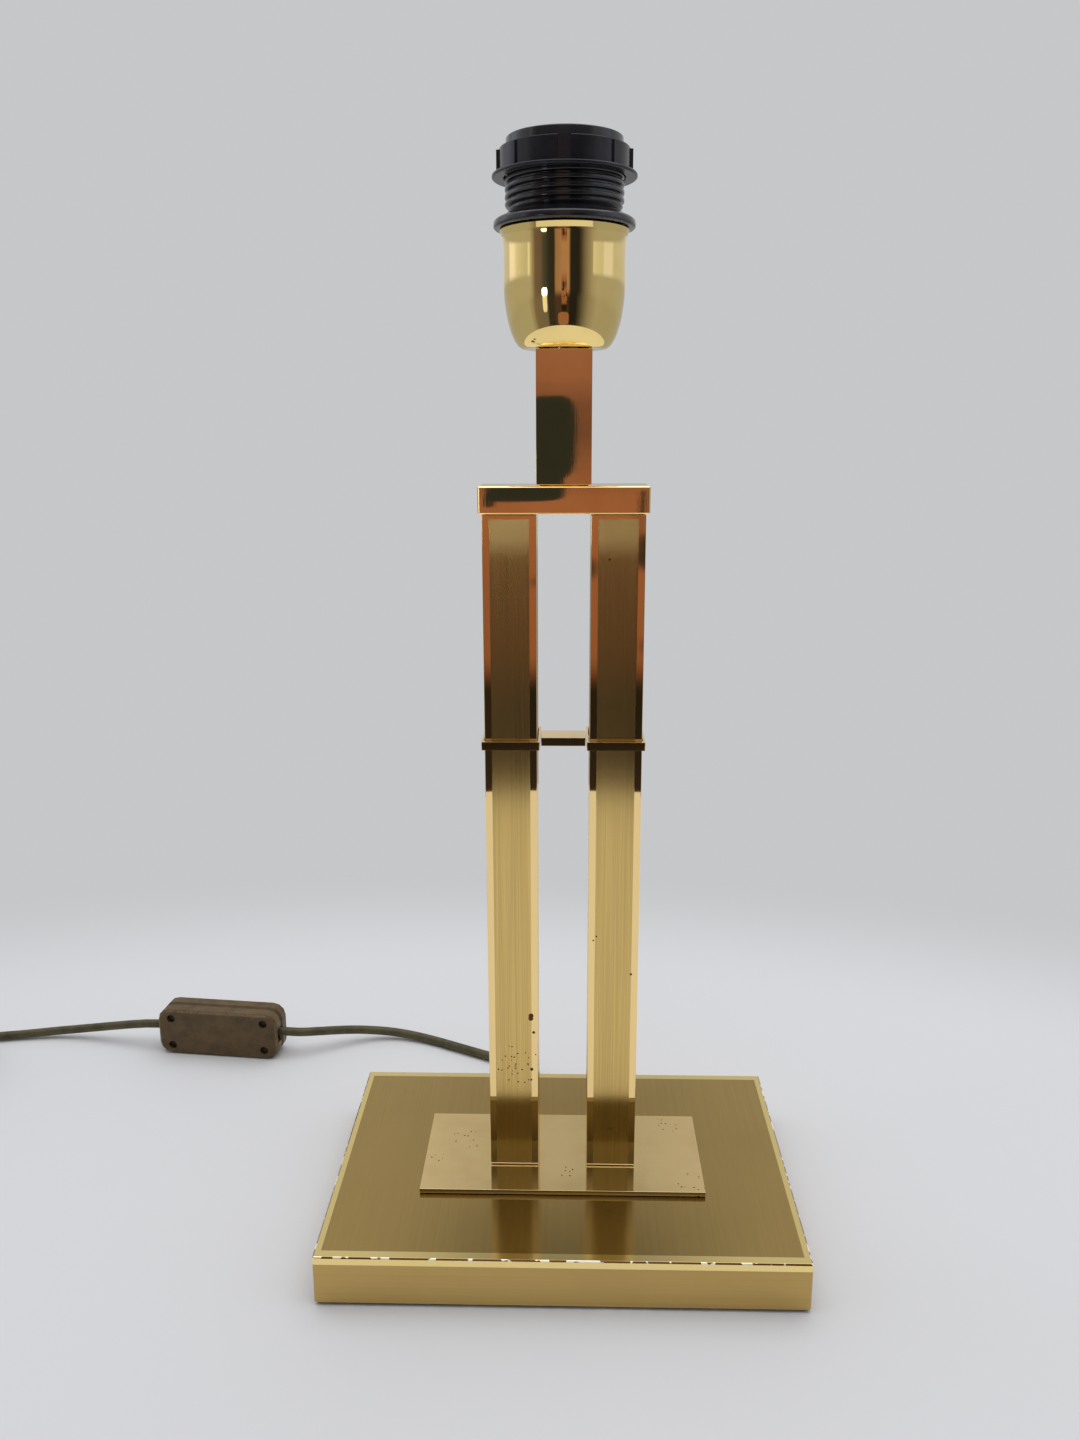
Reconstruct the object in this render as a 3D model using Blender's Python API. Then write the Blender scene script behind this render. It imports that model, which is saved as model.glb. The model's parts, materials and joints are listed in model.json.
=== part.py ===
"""Brass table lamp: a flat base, two square columns, an E27 lampholder and an in-line switch."""
import math

import bmesh
import bpy
from mathutils import Matrix, Vector

MM = 0.001

# Clearances
GAP = 0.3 * MM
CUT_OVERRUN = 1.0 * MM

# Base
BASE_WIDTH = 178 * MM
BASE_DEPTH = 124 * MM
BASE_HEIGHT = 20 * MM
SHELL_WALL = 1.0 * MM
SHELL_LIFT = 0.8 * MM
SHELL_EDGE_ROUND = 0.5 * MM
FELT_THICKNESS = 2.0 * MM
COVER_THICKNESS = 1.2 * MM
WEIGHT_THICKNESS = 8.0 * MM
WEIGHT_MARGIN = 7.0 * MM
WEIGHT_LEG = 12.0 * MM
COVER_SCREW_RADIUS = 1.5 * MM
COVER_SCREW_HEAD = 2.6 * MM
COVER_SCREW_DEPTH = 4.0 * MM

# Foot plate and columns
FOOT_PLATE_WIDTH = 110 * MM
FOOT_PLATE_DEPTH = 51 * MM
FOOT_PLATE_THICKNESS = 1.8 * MM
COLUMN_SIDE = 19 * MM
COLUMN_WALL = 1.0 * MM
COLUMN_SPACING = 38 * MM
COLUMN_LENGTH = 254.9 * MM

# Collars and bridge halfway up
COLLAR_RISE = 171.6 * MM
COLLAR_HEIGHT = 3.1 * MM
COLLAR_WIDTH = 21.1 * MM
COLLAR_DEPTH = 24.0 * MM
BRIDGE_DEPTH = 11.0 * MM

# Tie rods through the columns
ROD_RADIUS = 2.5 * MM
ROD_NUT_RADIUS = 4.6 * MM
ROD_NUT_HEIGHT = 3.6 * MM
ROD_END = 1.0 * MM

# Top bar and neck
BAR_OVERHANG = 1.25 * MM
BAR_WIDTH = COLUMN_SPACING + COLUMN_SIDE + 2 * BAR_OVERHANG
BAR_DEPTH = 22.0 * MM
BAR_HEIGHT = 9.6 * MM
BAR_PLATE_THICKNESS = 2.4 * MM
NECK_SIDE = 19.0 * MM
NECK_WALL = 1.0 * MM
NECK_LENGTH = 44.7 * MM
PIPE_RADIUS = 5.0 * MM
PIPE_BORE = 3.5 * MM
PIPE_NUT_RADIUS = 7.6 * MM
PIPE_NUT_HEIGHT = 3.0 * MM
PIPE_ENTRY = 3.0 * MM
PIPE_RISE = 8.5 * MM

# Lampholder cup
CUP_FLAT_RADIUS = 13.5 * MM
CUP_RADIUS = 20.55 * MM
CUP_ROUND_HEIGHT = 22.5 * MM
CUP_FLARE_START = 31.5 * MM
CUP_HEIGHT = 37.8 * MM
CUP_LIP_RADIUS = 21.7 * MM
CUP_WALL = 0.8 * MM

# Lampholder insulator and contacts
INSULATOR_RADIUS = 17.0 * MM
INSULATOR_FLOOR = 3.0 * MM
INSULATOR_RISE = 10.8 * MM
INSULATOR_HEIGHT = 16.5 * MM
COLLAR_NUT_RADIUS = 8.0 * MM
SHELL_BORE = 13.3 * MM
SHELL_SHEET = 0.5 * MM
SHELL_THREAD_DEPTH = 0.7 * MM
SHELL_PITCH = 3.6 * MM
SHELL_LENGTH = 20.0 * MM
SHELL_LEDGE = 6.5 * MM
CONTACT_WIDTH = 4.6 * MM
CONTACT_SHEET = 0.6 * MM
CONTACT_ROOT = 9.0 * MM
CONTACT_REACH = 12.0 * MM
CONTACT_LIFT = 2.6 * MM
CONTACT_FOOT = 3.0 * MM
TERMINAL_SIZE = 4.5 * MM
TERMINAL_OFFSET = 9.5 * MM
TERMINAL_SCREW_RADIUS = 1.3 * MM

# Lampholder sleeve and its thread
SLEEVE_THREAD_RADIUS = 19.85 * MM
SLEEVE_THREAD_DEPTH = 1.5 * MM
SLEEVE_PITCH = 2.5 * MM
SLEEVE_THREAD_LENGTH = 19.6 * MM
SLEEVE_BORE = 16.8 * MM
SLEEVE_SPIGOT_RADIUS = 18.9 * MM
SLEEVE_RIM_RADIUS = 19.4 * MM
SLEEVE_RIM_HEIGHT = 3.4 * MM
SKIRT_RADIUS = 23.75 * MM
SKIRT_HEIGHT = 4.9 * MM

# Shade ring
RING_CLEARANCE = 0.3 * MM
RING_RAISE = 10.7 * MM
RING_FLANGE_RADIUS = 24.1 * MM
RING_FLANGE_THICKNESS = 1.2 * MM
RING_BODY_RADIUS = 21.55 * MM
RING_BODY_HEIGHT = 7.8 * MM
RING_TAB_WIDTH = 3.8 * MM
RING_TAB_HEIGHT = 7.2 * MM
RING_TAB_RADIUS = 22.55 * MM
RING_GROOVE_WIDTH = 1.6 * MM
RING_GROOVE_DEPTH = 0.7 * MM
RING_QUARTERS = 4

# Cord
CORD_DIAMETER = 4.3 * MM
CORD_HEIGHT = 8.0 * MM
CORD_INLET_X = -14.0 * MM
CORD_POINT_SPACING = 9.5 * MM
LEAD_DIAMETER = 1.8 * MM
LEAD_OFFSET = 6.3 * MM
LEAD_SPACING = 2.5 * MM
LEAD_EXIT = 4.0 * MM
JACKET_END = 33.0 * MM

# Grommet, its tapered tail and the clamp behind it
GROMMET_NECK_RADIUS = 3.3 * MM
GROMMET_FLANGE_RADIUS = 4.4 * MM
GROMMET_FLANGE_THICKNESS = 1.4 * MM
GROMMET_TAIL_RADIUS = 3.8 * MM
GROMMET_TIP_RADIUS = 2.9 * MM
GROMMET_TAIL_LENGTH = 17.3 * MM
CLAMP_WIDTH = 22.0 * MM
CLAMP_DEPTH = 8.0 * MM
CLAMP_SKIN = 1.2 * MM
CLAMP_INSET = 12.0 * MM
CLAMP_SCREW_SPACING = 14.0 * MM
CLAMP_SCREW_RADIUS = 1.3 * MM
CLAMP_SCREW_HEAD = 2.2 * MM
CLAMP_HEAD_HEIGHT = 1.5 * MM
CLAMP_SCREW_LENGTH = 9.0 * MM

# In-line switch, standing on its long edge
SWITCH_LENGTH = 62.0 * MM
SWITCH_HEIGHT = 24.0 * MM
SWITCH_HALF = 7.6 * MM
SWITCH_WALL = 1.4 * MM
SWITCH_CORNER = 6.0 * MM
SWITCH_EDGE_ROUND = 1.2 * MM
SWITCH_X = -173.4 * MM
SWITCH_Y = 115.6 * MM
SWITCH_TURN = math.radians(-5.8)
SWITCH_CORD_ENTRY = 11.0 * MM
SWITCH_MOUTH_DEPTH = 4.0 * MM
SWITCH_MOUTH_HEIGHT = 7.5 * MM
SWITCH_MOUTH_REACH = 6.0 * MM
SWITCH_SCREW_X = 24.0 * MM
SWITCH_SCREW_Z = 7.2 * MM
SWITCH_SCREW_HOLE = 2.1 * MM
SWITCH_SCREW_RADIUS = 1.2 * MM
SWITCH_SCREW_HEAD = 1.7 * MM
SWITCH_SCREW_SINK = 1.2 * MM
SWITCH_SCREW_END = 1.5 * MM
SWITCH_HEAD_HEIGHT = 1.2 * MM
ROCKER_LENGTH = 15.0 * MM
ROCKER_WIDTH = 9.0 * MM
ROCKER_CORNER_X = 6.55 * MM
ROCKER_CORNER_Y = 4.25 * MM
ROCKER_CREST = 3.9 * MM
ROCKER_PIVOT_INSET = 3.4 * MM
ROCKER_KEEL = 1.1 * MM
ROCKER_SWING = math.radians(13.7)
ROCKER_CLEARANCE = 0.5 * MM
TERMINAL_CLIP_LENGTH = 12.0 * MM
TERMINAL_CLIP_WIDTH = 5.0 * MM
TERMINAL_CLIP_HEIGHT = 6.0 * MM
TERMINAL_CLIP_SPACING = 26.0 * MM

# Coil of the cord's unseen length
COIL_X = -320.0 * MM
COIL_TOP_Y = 118.0 * MM
COIL_MEAN_RADIUS = 24.0 * MM
COIL_LAYERS = 4
COIL_TURNS = 9.25
COIL_STEP_GAP = 0.6 * MM
COIL_POINTS_PER_TURN = 24
COIL_CLIMB_TURNS = 0.5
TIE_THICKNESS = 0.8 * MM
TIE_WIDTH = 6.0 * MM
TIE_CLEARANCE = 0.7 * MM
TIE_TURN = math.radians(-40)

# Plug
PLUG_WIDTH = 35.0 * MM
PLUG_THICKNESS = 13.6 * MM
PLUG_LENGTH = 34.0 * MM
PLUG_NECK_WIDTH = 15.0 * MM
PLUG_SHOULDER_LENGTH = 13.0 * MM
PLUG_FACE_WIDTH = 26.0 * MM
PLUG_FACE_LENGTH = 7.0 * MM
PLUG_EDGE_ROUND = 1.6 * MM
PLUG_END_Y = 14.0 * MM
PLUG_PIN_RADIUS = 2.0 * MM
PLUG_PIN_LENGTH = 19.0 * MM
PLUG_PIN_ROOT = 6.0 * MM
PLUG_PIN_SPACING = 18.6 * MM
RELIEF_LENGTH = 22.0 * MM
RELIEF_ROOT_RADIUS = 5.0 * MM
RELIEF_TIP_RADIUS = 3.0 * MM

# Counts
ROUND_SEGMENTS = 32
SHELL_SEGMENTS = 20
SMALL_SEGMENTS = 16
NUT_SIDES = 6
THREAD_ROWS_PER_TURN = 4
SHELL_ROWS_PER_TURN = 4
CUP_ROUND_STEPS = 7
CUP_FLARE_STEPS = 3
CORD_BEVEL_RESOLUTION = 2
LEAD_BEVEL_RESOLUTION = 2
COIL_BEVEL_RESOLUTION = 1
ROUTE_STEPS = 12
TIE_CORNER_STEPS = 2
SWITCH_CORNER_STEPS = 3
SHARP_ANGLE = math.radians(35)
PLUG_SHARP_ANGLE = math.radians(60)

# Heights, from the floor up
FELT_TOP = FELT_THICKNESS
COVER_BOTTOM = FELT_TOP + GAP
COVER_TOP = COVER_BOTTOM + COVER_THICKNESS
LEG_BOTTOM = COVER_TOP + GAP
WEIGHT_TOP = BASE_HEIGHT - SHELL_WALL - GAP
WEIGHT_BOTTOM = WEIGHT_TOP - WEIGHT_THICKNESS
FOOT_PLATE_BOTTOM = BASE_HEIGHT + GAP
FOOT_PLATE_TOP = FOOT_PLATE_BOTTOM + FOOT_PLATE_THICKNESS
COLUMN_BOTTOM = FOOT_PLATE_TOP + GAP
COLUMN_TOP = COLUMN_BOTTOM + COLUMN_LENGTH
COLLAR_BOTTOM = FOOT_PLATE_TOP + COLLAR_RISE
COLLAR_TOP = COLLAR_BOTTOM + COLLAR_HEIGHT
BAR_BOTTOM = COLUMN_TOP + GAP
BAR_TOP = BAR_BOTTOM + BAR_HEIGHT
BAR_PLATE_TOP = BAR_BOTTOM + BAR_PLATE_THICKNESS
NECK_BOTTOM = BAR_TOP + GAP
NECK_TOP = NECK_BOTTOM + NECK_LENGTH
CUP_BOTTOM = NECK_TOP + GAP
PIPE_BOTTOM = BAR_TOP - SHELL_WALL - PIPE_ENTRY
PIPE_TOP = CUP_BOTTOM + CUP_WALL + PIPE_RISE
INSULATOR_BOTTOM = CUP_BOTTOM + INSULATOR_RISE
INSULATOR_TOP = INSULATOR_BOTTOM + INSULATOR_HEIGHT
FLOOR_TOP = INSULATOR_BOTTOM + INSULATOR_FLOOR
SHELL_BOTTOM = FLOOR_TOP + SHELL_LEDGE + GAP
CUP_TOP = CUP_BOTTOM + CUP_HEIGHT
SKIRT_BOTTOM = CUP_TOP + GAP
SKIRT_TOP = SKIRT_BOTTOM + SKIRT_HEIGHT
THREAD_TOP = SKIRT_TOP + SLEEVE_THREAD_LENGTH
SLEEVE_TOP = THREAD_TOP + SLEEVE_RIM_HEIGHT
RING_BOTTOM = SKIRT_TOP + RING_RAISE
COIL_BOTTOM_HEIGHT = TIE_THICKNESS + GAP + CORD_DIAMETER / 2
COIL_STEP = CORD_DIAMETER + COIL_STEP_GAP

# The shell's back wall and what passes through it
BACK = BASE_DEPTH / 2
GROMMET_FLANGE_BACK = BACK + GAP + GROMMET_FLANGE_THICKNESS
GROMMET_TIP = GROMMET_FLANGE_BACK + GROMMET_TAIL_LENGTH

# The cord's route from the grommet to the switch
LAMP_SIDE_ROUTE = [
    (-14.8 * MM, 91.0 * MM, 6.8 * MM),
    (-18.8 * MM, 96.8 * MM, 4.4 * MM),
    (-24.6 * MM, 101.0 * MM, 2.9 * MM),
    (-31.0 * MM, 104.3 * MM, 2.3 * MM),
    (-38.0 * MM, 107.6 * MM, 2.2 * MM),
    (-55.5 * MM, 116.5 * MM, 2.2 * MM),
    (-70.7 * MM, 123.8 * MM, 2.3 * MM),
    (-85.7 * MM, 127.8 * MM, 3.2 * MM),
    (-98.5 * MM, 126.8 * MM, 5.0 * MM),
    (-110.4 * MM, 122.8 * MM, 7.4 * MM),
    (-121.5 * MM, 117.4 * MM, 9.6 * MM),
    (-131.5 * MM, 113.2 * MM, 11.2 * MM),
    (-137.5 * MM, 112.1 * MM, 11.8 * MM),
]

# The cord's route from the switch to the coil
PLUG_SIDE_ROUTE = [
    (-209.3 * MM, 119.2 * MM, 11.9 * MM),
    (-219.5 * MM, 120.4 * MM, 10.8 * MM),
    (-232.4 * MM, 122.6 * MM, 8.4 * MM),
    (-251.0 * MM, 125.4 * MM, 5.0 * MM),
    (-265.9 * MM, 125.6 * MM, 3.3 * MM),
    (-279.0 * MM, 124.0 * MM, 2.5 * MM),
    (-292.5 * MM, 121.6 * MM, 2.4 * MM),
    (-304.0 * MM, 119.2 * MM, 2.9 * MM),
]

# The plug's middle line, and how far along the tail's straight line its points lie
TAIL_X = -357.0 * MM
TAIL_SHARES = (0.3, 0.55, 0.8)


def clear_scene():
    for scene_object in list(bpy.data.objects):
        bpy.data.objects.remove(scene_object, do_unlink=True)


def material(name, colour, roughness, metallic):
    made = bpy.data.materials.new(name)
    made.use_nodes = True
    shader = made.node_tree.nodes["Principled BSDF"]
    shader.inputs["Base Color"].default_value = (*colour, 1.0)
    shader.inputs["Roughness"].default_value = roughness
    shader.inputs["Metallic"].default_value = metallic
    return made


def brushed_brass(name):
    return material(name, (0.46, 0.33, 0.13), 0.38, 1.0)


def polished_brass(name):
    return material(name, (0.72, 0.52, 0.20), 0.12, 1.0)


def steel(name):
    return material(name, (0.45, 0.45, 0.46), 0.35, 1.0)


def black_plastic(name):
    return material(name, (0.016, 0.016, 0.02), 0.38, 0.0)


def brown_plastic(name):
    return material(name, (0.07, 0.052, 0.026), 0.42, 0.0)


def empty(name, location=(0, 0, 0), turn=0.0):
    made = bpy.data.objects.new(name, None)
    made.location = location
    made.rotation_euler = (0, 0, turn)
    bpy.context.scene.collection.objects.link(made)
    return made


def finish_mesh(name, shape, paint, parent, smooth):
    bmesh.ops.recalc_face_normals(shape, faces=shape.faces)
    mesh = bpy.data.meshes.new(name)
    shape.to_mesh(mesh)
    shape.free()
    if smooth:
        mesh.shade_smooth()
        mesh.set_sharp_from_angle(angle=SHARP_ANGLE)
    if paint is not None:
        mesh.materials.append(paint)
    made = bpy.data.objects.new(name, mesh)
    bpy.context.scene.collection.objects.link(made)
    made.parent = parent
    return made


def add_prism(shape, outline, low, high, matrix=None):
    """One solid: a flat outline in XY raised from low to high."""
    bottom = [shape.verts.new((x, y, low)) for x, y in outline]
    top = [shape.verts.new((x, y, high)) for x, y in outline]
    shape.faces.new(list(reversed(bottom)))
    shape.faces.new(top)
    count = len(outline)
    for index in range(count):
        after = (index + 1) % count
        shape.faces.new((bottom[index], bottom[after], top[after], top[index]))
    if matrix is not None:
        bmesh.ops.transform(shape, matrix=matrix, verts=bottom + top)


def add_frame(shape, outer, inner, low, high):
    """One solid: the band between two outlines of as many points, raised from low to high."""
    count = len(outer)
    rings = []
    for outline, height in ((outer, low), (outer, high), (inner, high), (inner, low)):
        rings.append([shape.verts.new((x, y, height)) for x, y in outline])
    for ring_index in range(len(rings)):
        ring = rings[ring_index]
        following = rings[(ring_index + 1) % len(rings)]
        for index in range(count):
            after = (index + 1) % count
            shape.faces.new((ring[index], ring[after], following[after], following[index]))


def add_turned(shape, profile, segments, matrix=None):
    """One solid: a closed profile of (radius, height) points turned round Z."""
    rings = []
    for radius, height in profile:
        if radius == 0:
            rings.append([shape.verts.new((0, 0, height))])
            continue
        ring = []
        for index in range(segments):
            angle = math.tau * index / segments
            ring.append(shape.verts.new((radius * math.cos(angle), radius * math.sin(angle), height)))
        rings.append(ring)
    for ring_index in range(len(rings)):
        ring = rings[ring_index]
        following = rings[(ring_index + 1) % len(rings)]
        if len(ring) == 1 and len(following) == 1:
            continue
        for index in range(segments):
            after = (index + 1) % segments
            if len(ring) == 1:
                shape.faces.new((ring[0], following[after], following[index]))
            elif len(following) == 1:
                shape.faces.new((ring[index], ring[after], following[0]))
            else:
                shape.faces.new((ring[index], ring[after], following[after], following[index]))
    if matrix is not None:
        bmesh.ops.transform(shape, matrix=matrix, verts=[vert for ring in rings for vert in ring])


def rectangle(width, depth):
    return [
        (-width / 2, -depth / 2),
        (width / 2, -depth / 2),
        (width / 2, depth / 2),
        (-width / 2, depth / 2),
    ]


def moved(outline, x, y):
    return [(px + x, py + y) for px, py in outline]


def rounded_rectangle(width, depth, radius, steps):
    outline = []
    corners = ((1, -1, -90), (1, 1, 0), (-1, 1, 90), (-1, -1, 180))
    for side_x, side_y, start in corners:
        centre_x = side_x * (width / 2 - radius)
        centre_y = side_y * (depth / 2 - radius)
        for step in range(steps + 1):
            angle = math.radians(start + 90 * step / steps)
            outline.append((centre_x + radius * math.cos(angle), centre_y + radius * math.sin(angle)))
    return outline


def polygon(radius, sides, turn=0.0):
    points = []
    for index in range(sides):
        angle = turn + math.tau * index / sides
        points.append((radius * math.cos(angle), radius * math.sin(angle)))
    return points


def prism(name, outline, low, high, paint, parent, smooth=False):
    shape = bmesh.new()
    add_prism(shape, outline, low, high)
    return finish_mesh(name, shape, paint, parent, smooth)


def turned(name, profile, paint, parent, segments=ROUND_SEGMENTS, matrix=None):
    shape = bmesh.new()
    add_turned(shape, profile, segments, matrix)
    return finish_mesh(name, shape, paint, parent, True)


def square_tube(name, side, wall, low, high, paint, parent, x=0.0):
    shape = bmesh.new()
    outer = moved(rectangle(side, side), x, 0)
    inner = moved(rectangle(side - 2 * wall, side - 2 * wall), x, 0)
    add_frame(shape, outer, inner, low, high)
    return finish_mesh(name, shape, paint, parent, False)


def rod_profile(radius, low, high):
    return [(0, low), (radius, low), (radius, high), (0, high)]


def screw(name, head_radius, head_height, shank_radius, length, matrix, parent):
    """A screw whose head starts at the matrix's origin, its shank running along +Z."""
    profile = [
        (0, 0),
        (head_radius, 0),
        (head_radius, head_height),
        (shank_radius, head_height),
        (shank_radius, length),
        (0, length),
    ]
    turned(name, profile, steel(name + "_steel"), parent, SMALL_SEGMENTS // 2, matrix)


def bevel_edges(target, width, angle=SHARP_ANGLE):
    modifier = target.modifiers.new("Edge rounding", "BEVEL")
    modifier.width = width
    modifier.segments = 1
    modifier.limit_method = "ANGLE"
    modifier.angle_limit = angle


def combine(target, tool, operation="DIFFERENCE"):
    tool.hide_render = True
    tool.display_type = "WIRE"
    modifier = target.modifiers.new(tool.name, "BOOLEAN")
    modifier.operation = operation
    modifier.solver = "EXACT"
    modifier.object = tool


def hole_cutter(name, holes, low, high, parent, segments=SMALL_SEGMENTS):
    """A cutter with one round bar for each (x, y, radius)."""
    shape = bmesh.new()
    for x, y, radius in holes:
        add_prism(shape, moved(polygon(radius, segments), x, y), low, high)
    return finish_mesh(name, shape, None, parent, False)


def along_y(x, y, z):
    """Turns a solid made round Z so that it runs along +Y from the given place."""
    return Matrix.Translation((x, y, z)) @ Matrix.Rotation(-math.pi / 2, 4, "X")


def open_box(name, width, depth, low, high, paint, parent):
    """A folded sheet box that is open below, with its edges a little rounded."""
    block = prism(name, rectangle(width, depth), low, high, paint, parent)
    bevel_edges(block, SHELL_EDGE_ROUND)
    inside = rectangle(width - 2 * SHELL_WALL, depth - 2 * SHELL_WALL)
    hollow = prism(name + "_hollow", inside, low - CUT_OVERRUN, high - SHELL_WALL, None, parent)
    combine(block, hollow)
    return block


def lead_places():
    """Where the two leads run up inside the left column."""
    x = -COLUMN_SPACING / 2
    return [(x - LEAD_SPACING / 2, LEAD_OFFSET), (x + LEAD_SPACING / 2, LEAD_OFFSET)]


def stem_holes():
    """Holes for the tie rods and the leads, through everything that they cross."""
    holes = [(side * COLUMN_SPACING / 2, 0, ROD_RADIUS + GAP) for side in (-1, 1)]
    for x, y in lead_places():
        holes.append((x, y, LEAD_DIAMETER / 2 + GAP))
    return holes


def leg_places():
    reach_x = BASE_WIDTH / 2 - SHELL_WALL - WEIGHT_MARGIN - WEIGHT_LEG / 2
    reach_y = BASE_DEPTH / 2 - SHELL_WALL - WEIGHT_MARGIN - WEIGHT_LEG / 2
    return [(x, y) for x in (-reach_x, reach_x) for y in (-reach_y, reach_y)]


def clamp_y():
    return BACK - SHELL_WALL - WEIGHT_MARGIN - CLAMP_INSET


def clamp_bottom():
    return CORD_HEIGHT - CORD_DIAMETER / 2 - GAP - CLAMP_SKIN


def clamp_screw_places():
    return [(CORD_INLET_X + side * CLAMP_SCREW_SPACING / 2, clamp_y()) for side in (-1, 1)]


def make_base(parent):
    shell = open_box("base_shell", BASE_WIDTH, BASE_DEPTH, SHELL_LIFT, BASE_HEIGHT,
                     brushed_brass("base_shell_brass"), parent)
    combine(shell, hole_cutter("shell_stem_holes", stem_holes(), WEIGHT_TOP, FOOT_PLATE_TOP, parent))
    inlet = turned("shell_cord_hole", rod_profile(GROMMET_NECK_RADIUS + GAP, -CUT_OVERRUN,
                                                  SHELL_WALL + CUT_OVERRUN),
                   None, parent, SMALL_SEGMENTS, along_y(CORD_INLET_X, BACK - SHELL_WALL, CORD_HEIGHT))
    combine(shell, inlet)

    inner_width = BASE_WIDTH - 2 * SHELL_WALL - 2 * GAP
    inner_depth = BASE_DEPTH - 2 * SHELL_WALL - 2 * GAP
    felt = material("felt_green", (0.02, 0.05, 0.03), 0.95, 0.0)
    prism("felt_pad", rectangle(inner_width, inner_depth), 0, FELT_TOP, felt, parent)
    cover = prism("bottom_cover", rectangle(inner_width, inner_depth), COVER_BOTTOM, COVER_TOP,
                  steel("bottom_cover_steel"), parent)
    screw_holes = [(x, y, COVER_SCREW_RADIUS + GAP) for x, y in leg_places()]
    recesses = [(x, y, COVER_SCREW_HEAD + GAP) for x, y in leg_places()]
    combine(cover, hole_cutter("cover_recesses", recesses, COVER_BOTTOM - CUT_OVERRUN,
                               COVER_BOTTOM + COVER_THICKNESS / 2, parent))
    combine(cover, hole_cutter("cover_holes", screw_holes, COVER_BOTTOM - CUT_OVERRUN,
                               COVER_TOP + CUT_OVERRUN, parent))

    for number, (x, y) in enumerate(leg_places(), 1):
        head_height = COVER_THICKNESS / 2 - GAP
        screw("cover_screw_%d" % number, COVER_SCREW_HEAD, head_height, COVER_SCREW_RADIUS,
              LEG_BOTTOM + COVER_SCREW_DEPTH - COVER_BOTTOM, Matrix.Translation((x, y, COVER_BOTTOM)),
              parent)

    weight_width = BASE_WIDTH - 2 * SHELL_WALL - 2 * WEIGHT_MARGIN
    weight_depth = BASE_DEPTH - 2 * SHELL_WALL - 2 * WEIGHT_MARGIN
    iron = material("weight_iron", (0.08, 0.08, 0.085), 0.6, 1.0)
    weight = prism("base_weight", rectangle(weight_width, weight_depth), WEIGHT_BOTTOM, WEIGHT_TOP,
                   iron, parent)
    shape = bmesh.new()
    for x, y in leg_places():
        add_prism(shape, moved(rectangle(WEIGHT_LEG, WEIGHT_LEG), x, y), LEG_BOTTOM,
                  WEIGHT_BOTTOM + CUT_OVERRUN)
    combine(weight, finish_mesh("weight_legs", shape, None, parent, False), "UNION")
    combine(weight, hole_cutter("weight_stem_holes", stem_holes(), WEIGHT_BOTTOM - CUT_OVERRUN,
                                WEIGHT_TOP + CUT_OVERRUN, parent))
    taps = [(x, y, CLAMP_SCREW_RADIUS + GAP) for x, y in clamp_screw_places()]
    combine(weight, hole_cutter("weight_clamp_taps", taps, WEIGHT_BOTTOM - CUT_OVERRUN,
                                clamp_bottom() + CLAMP_SCREW_LENGTH + GAP, parent))
    combine(weight, hole_cutter("weight_cover_taps", screw_holes, LEG_BOTTOM - CUT_OVERRUN,
                                LEG_BOTTOM + COVER_SCREW_DEPTH + GAP, parent))


def make_cord_inlet(parent):
    bore = CORD_DIAMETER / 2 + GAP
    inner_face = BACK - SHELL_WALL - GAP
    outer_face = BACK + GAP
    profile = [
        (bore, inner_face - GROMMET_FLANGE_THICKNESS),
        (GROMMET_FLANGE_RADIUS - GAP, inner_face - GROMMET_FLANGE_THICKNESS),
        (GROMMET_FLANGE_RADIUS - GAP, inner_face),
        (GROMMET_NECK_RADIUS, inner_face),
        (GROMMET_NECK_RADIUS, outer_face),
        (GROMMET_FLANGE_RADIUS, outer_face),
        (GROMMET_FLANGE_RADIUS, GROMMET_FLANGE_BACK),
        (GROMMET_TAIL_RADIUS, GROMMET_FLANGE_BACK),
        (GROMMET_TIP_RADIUS, GROMMET_TIP),
        (bore, GROMMET_TIP),
    ]
    turned("cord_grommet", profile, brown_plastic("grommet_plastic"), parent, SMALL_SEGMENTS,
           along_y(CORD_INLET_X, 0, CORD_HEIGHT))

    bottom = clamp_bottom()
    clamp = prism("cord_clamp", moved(rectangle(CLAMP_WIDTH, CLAMP_DEPTH), CORD_INLET_X, clamp_y()),
                  bottom, WEIGHT_BOTTOM - GAP, brown_plastic("clamp_plastic"), parent)
    channel = turned("clamp_channel", rod_profile(bore, -CLAMP_DEPTH / 2 - CUT_OVERRUN,
                                                  CLAMP_DEPTH / 2 + CUT_OVERRUN),
                     None, parent, SMALL_SEGMENTS, along_y(CORD_INLET_X, clamp_y(), CORD_HEIGHT))
    combine(clamp, channel)
    head_room = bottom + CLAMP_HEAD_HEIGHT + GAP
    sinks = [(x, y, CLAMP_SCREW_HEAD + GAP) for x, y in clamp_screw_places()]
    combine(clamp, hole_cutter("clamp_sinks", sinks, bottom - CUT_OVERRUN, head_room, parent))
    taps = [(x, y, CLAMP_SCREW_RADIUS + GAP) for x, y in clamp_screw_places()]
    combine(clamp, hole_cutter("clamp_taps", taps, bottom, WEIGHT_BOTTOM + CUT_OVERRUN, parent))
    for number, (x, y) in enumerate(clamp_screw_places(), 1):
        screw("clamp_screw_%d" % number, CLAMP_SCREW_HEAD, CLAMP_HEAD_HEIGHT, CLAMP_SCREW_RADIUS,
              CLAMP_SCREW_LENGTH, Matrix.Translation((x, y, bottom)), parent)


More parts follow.
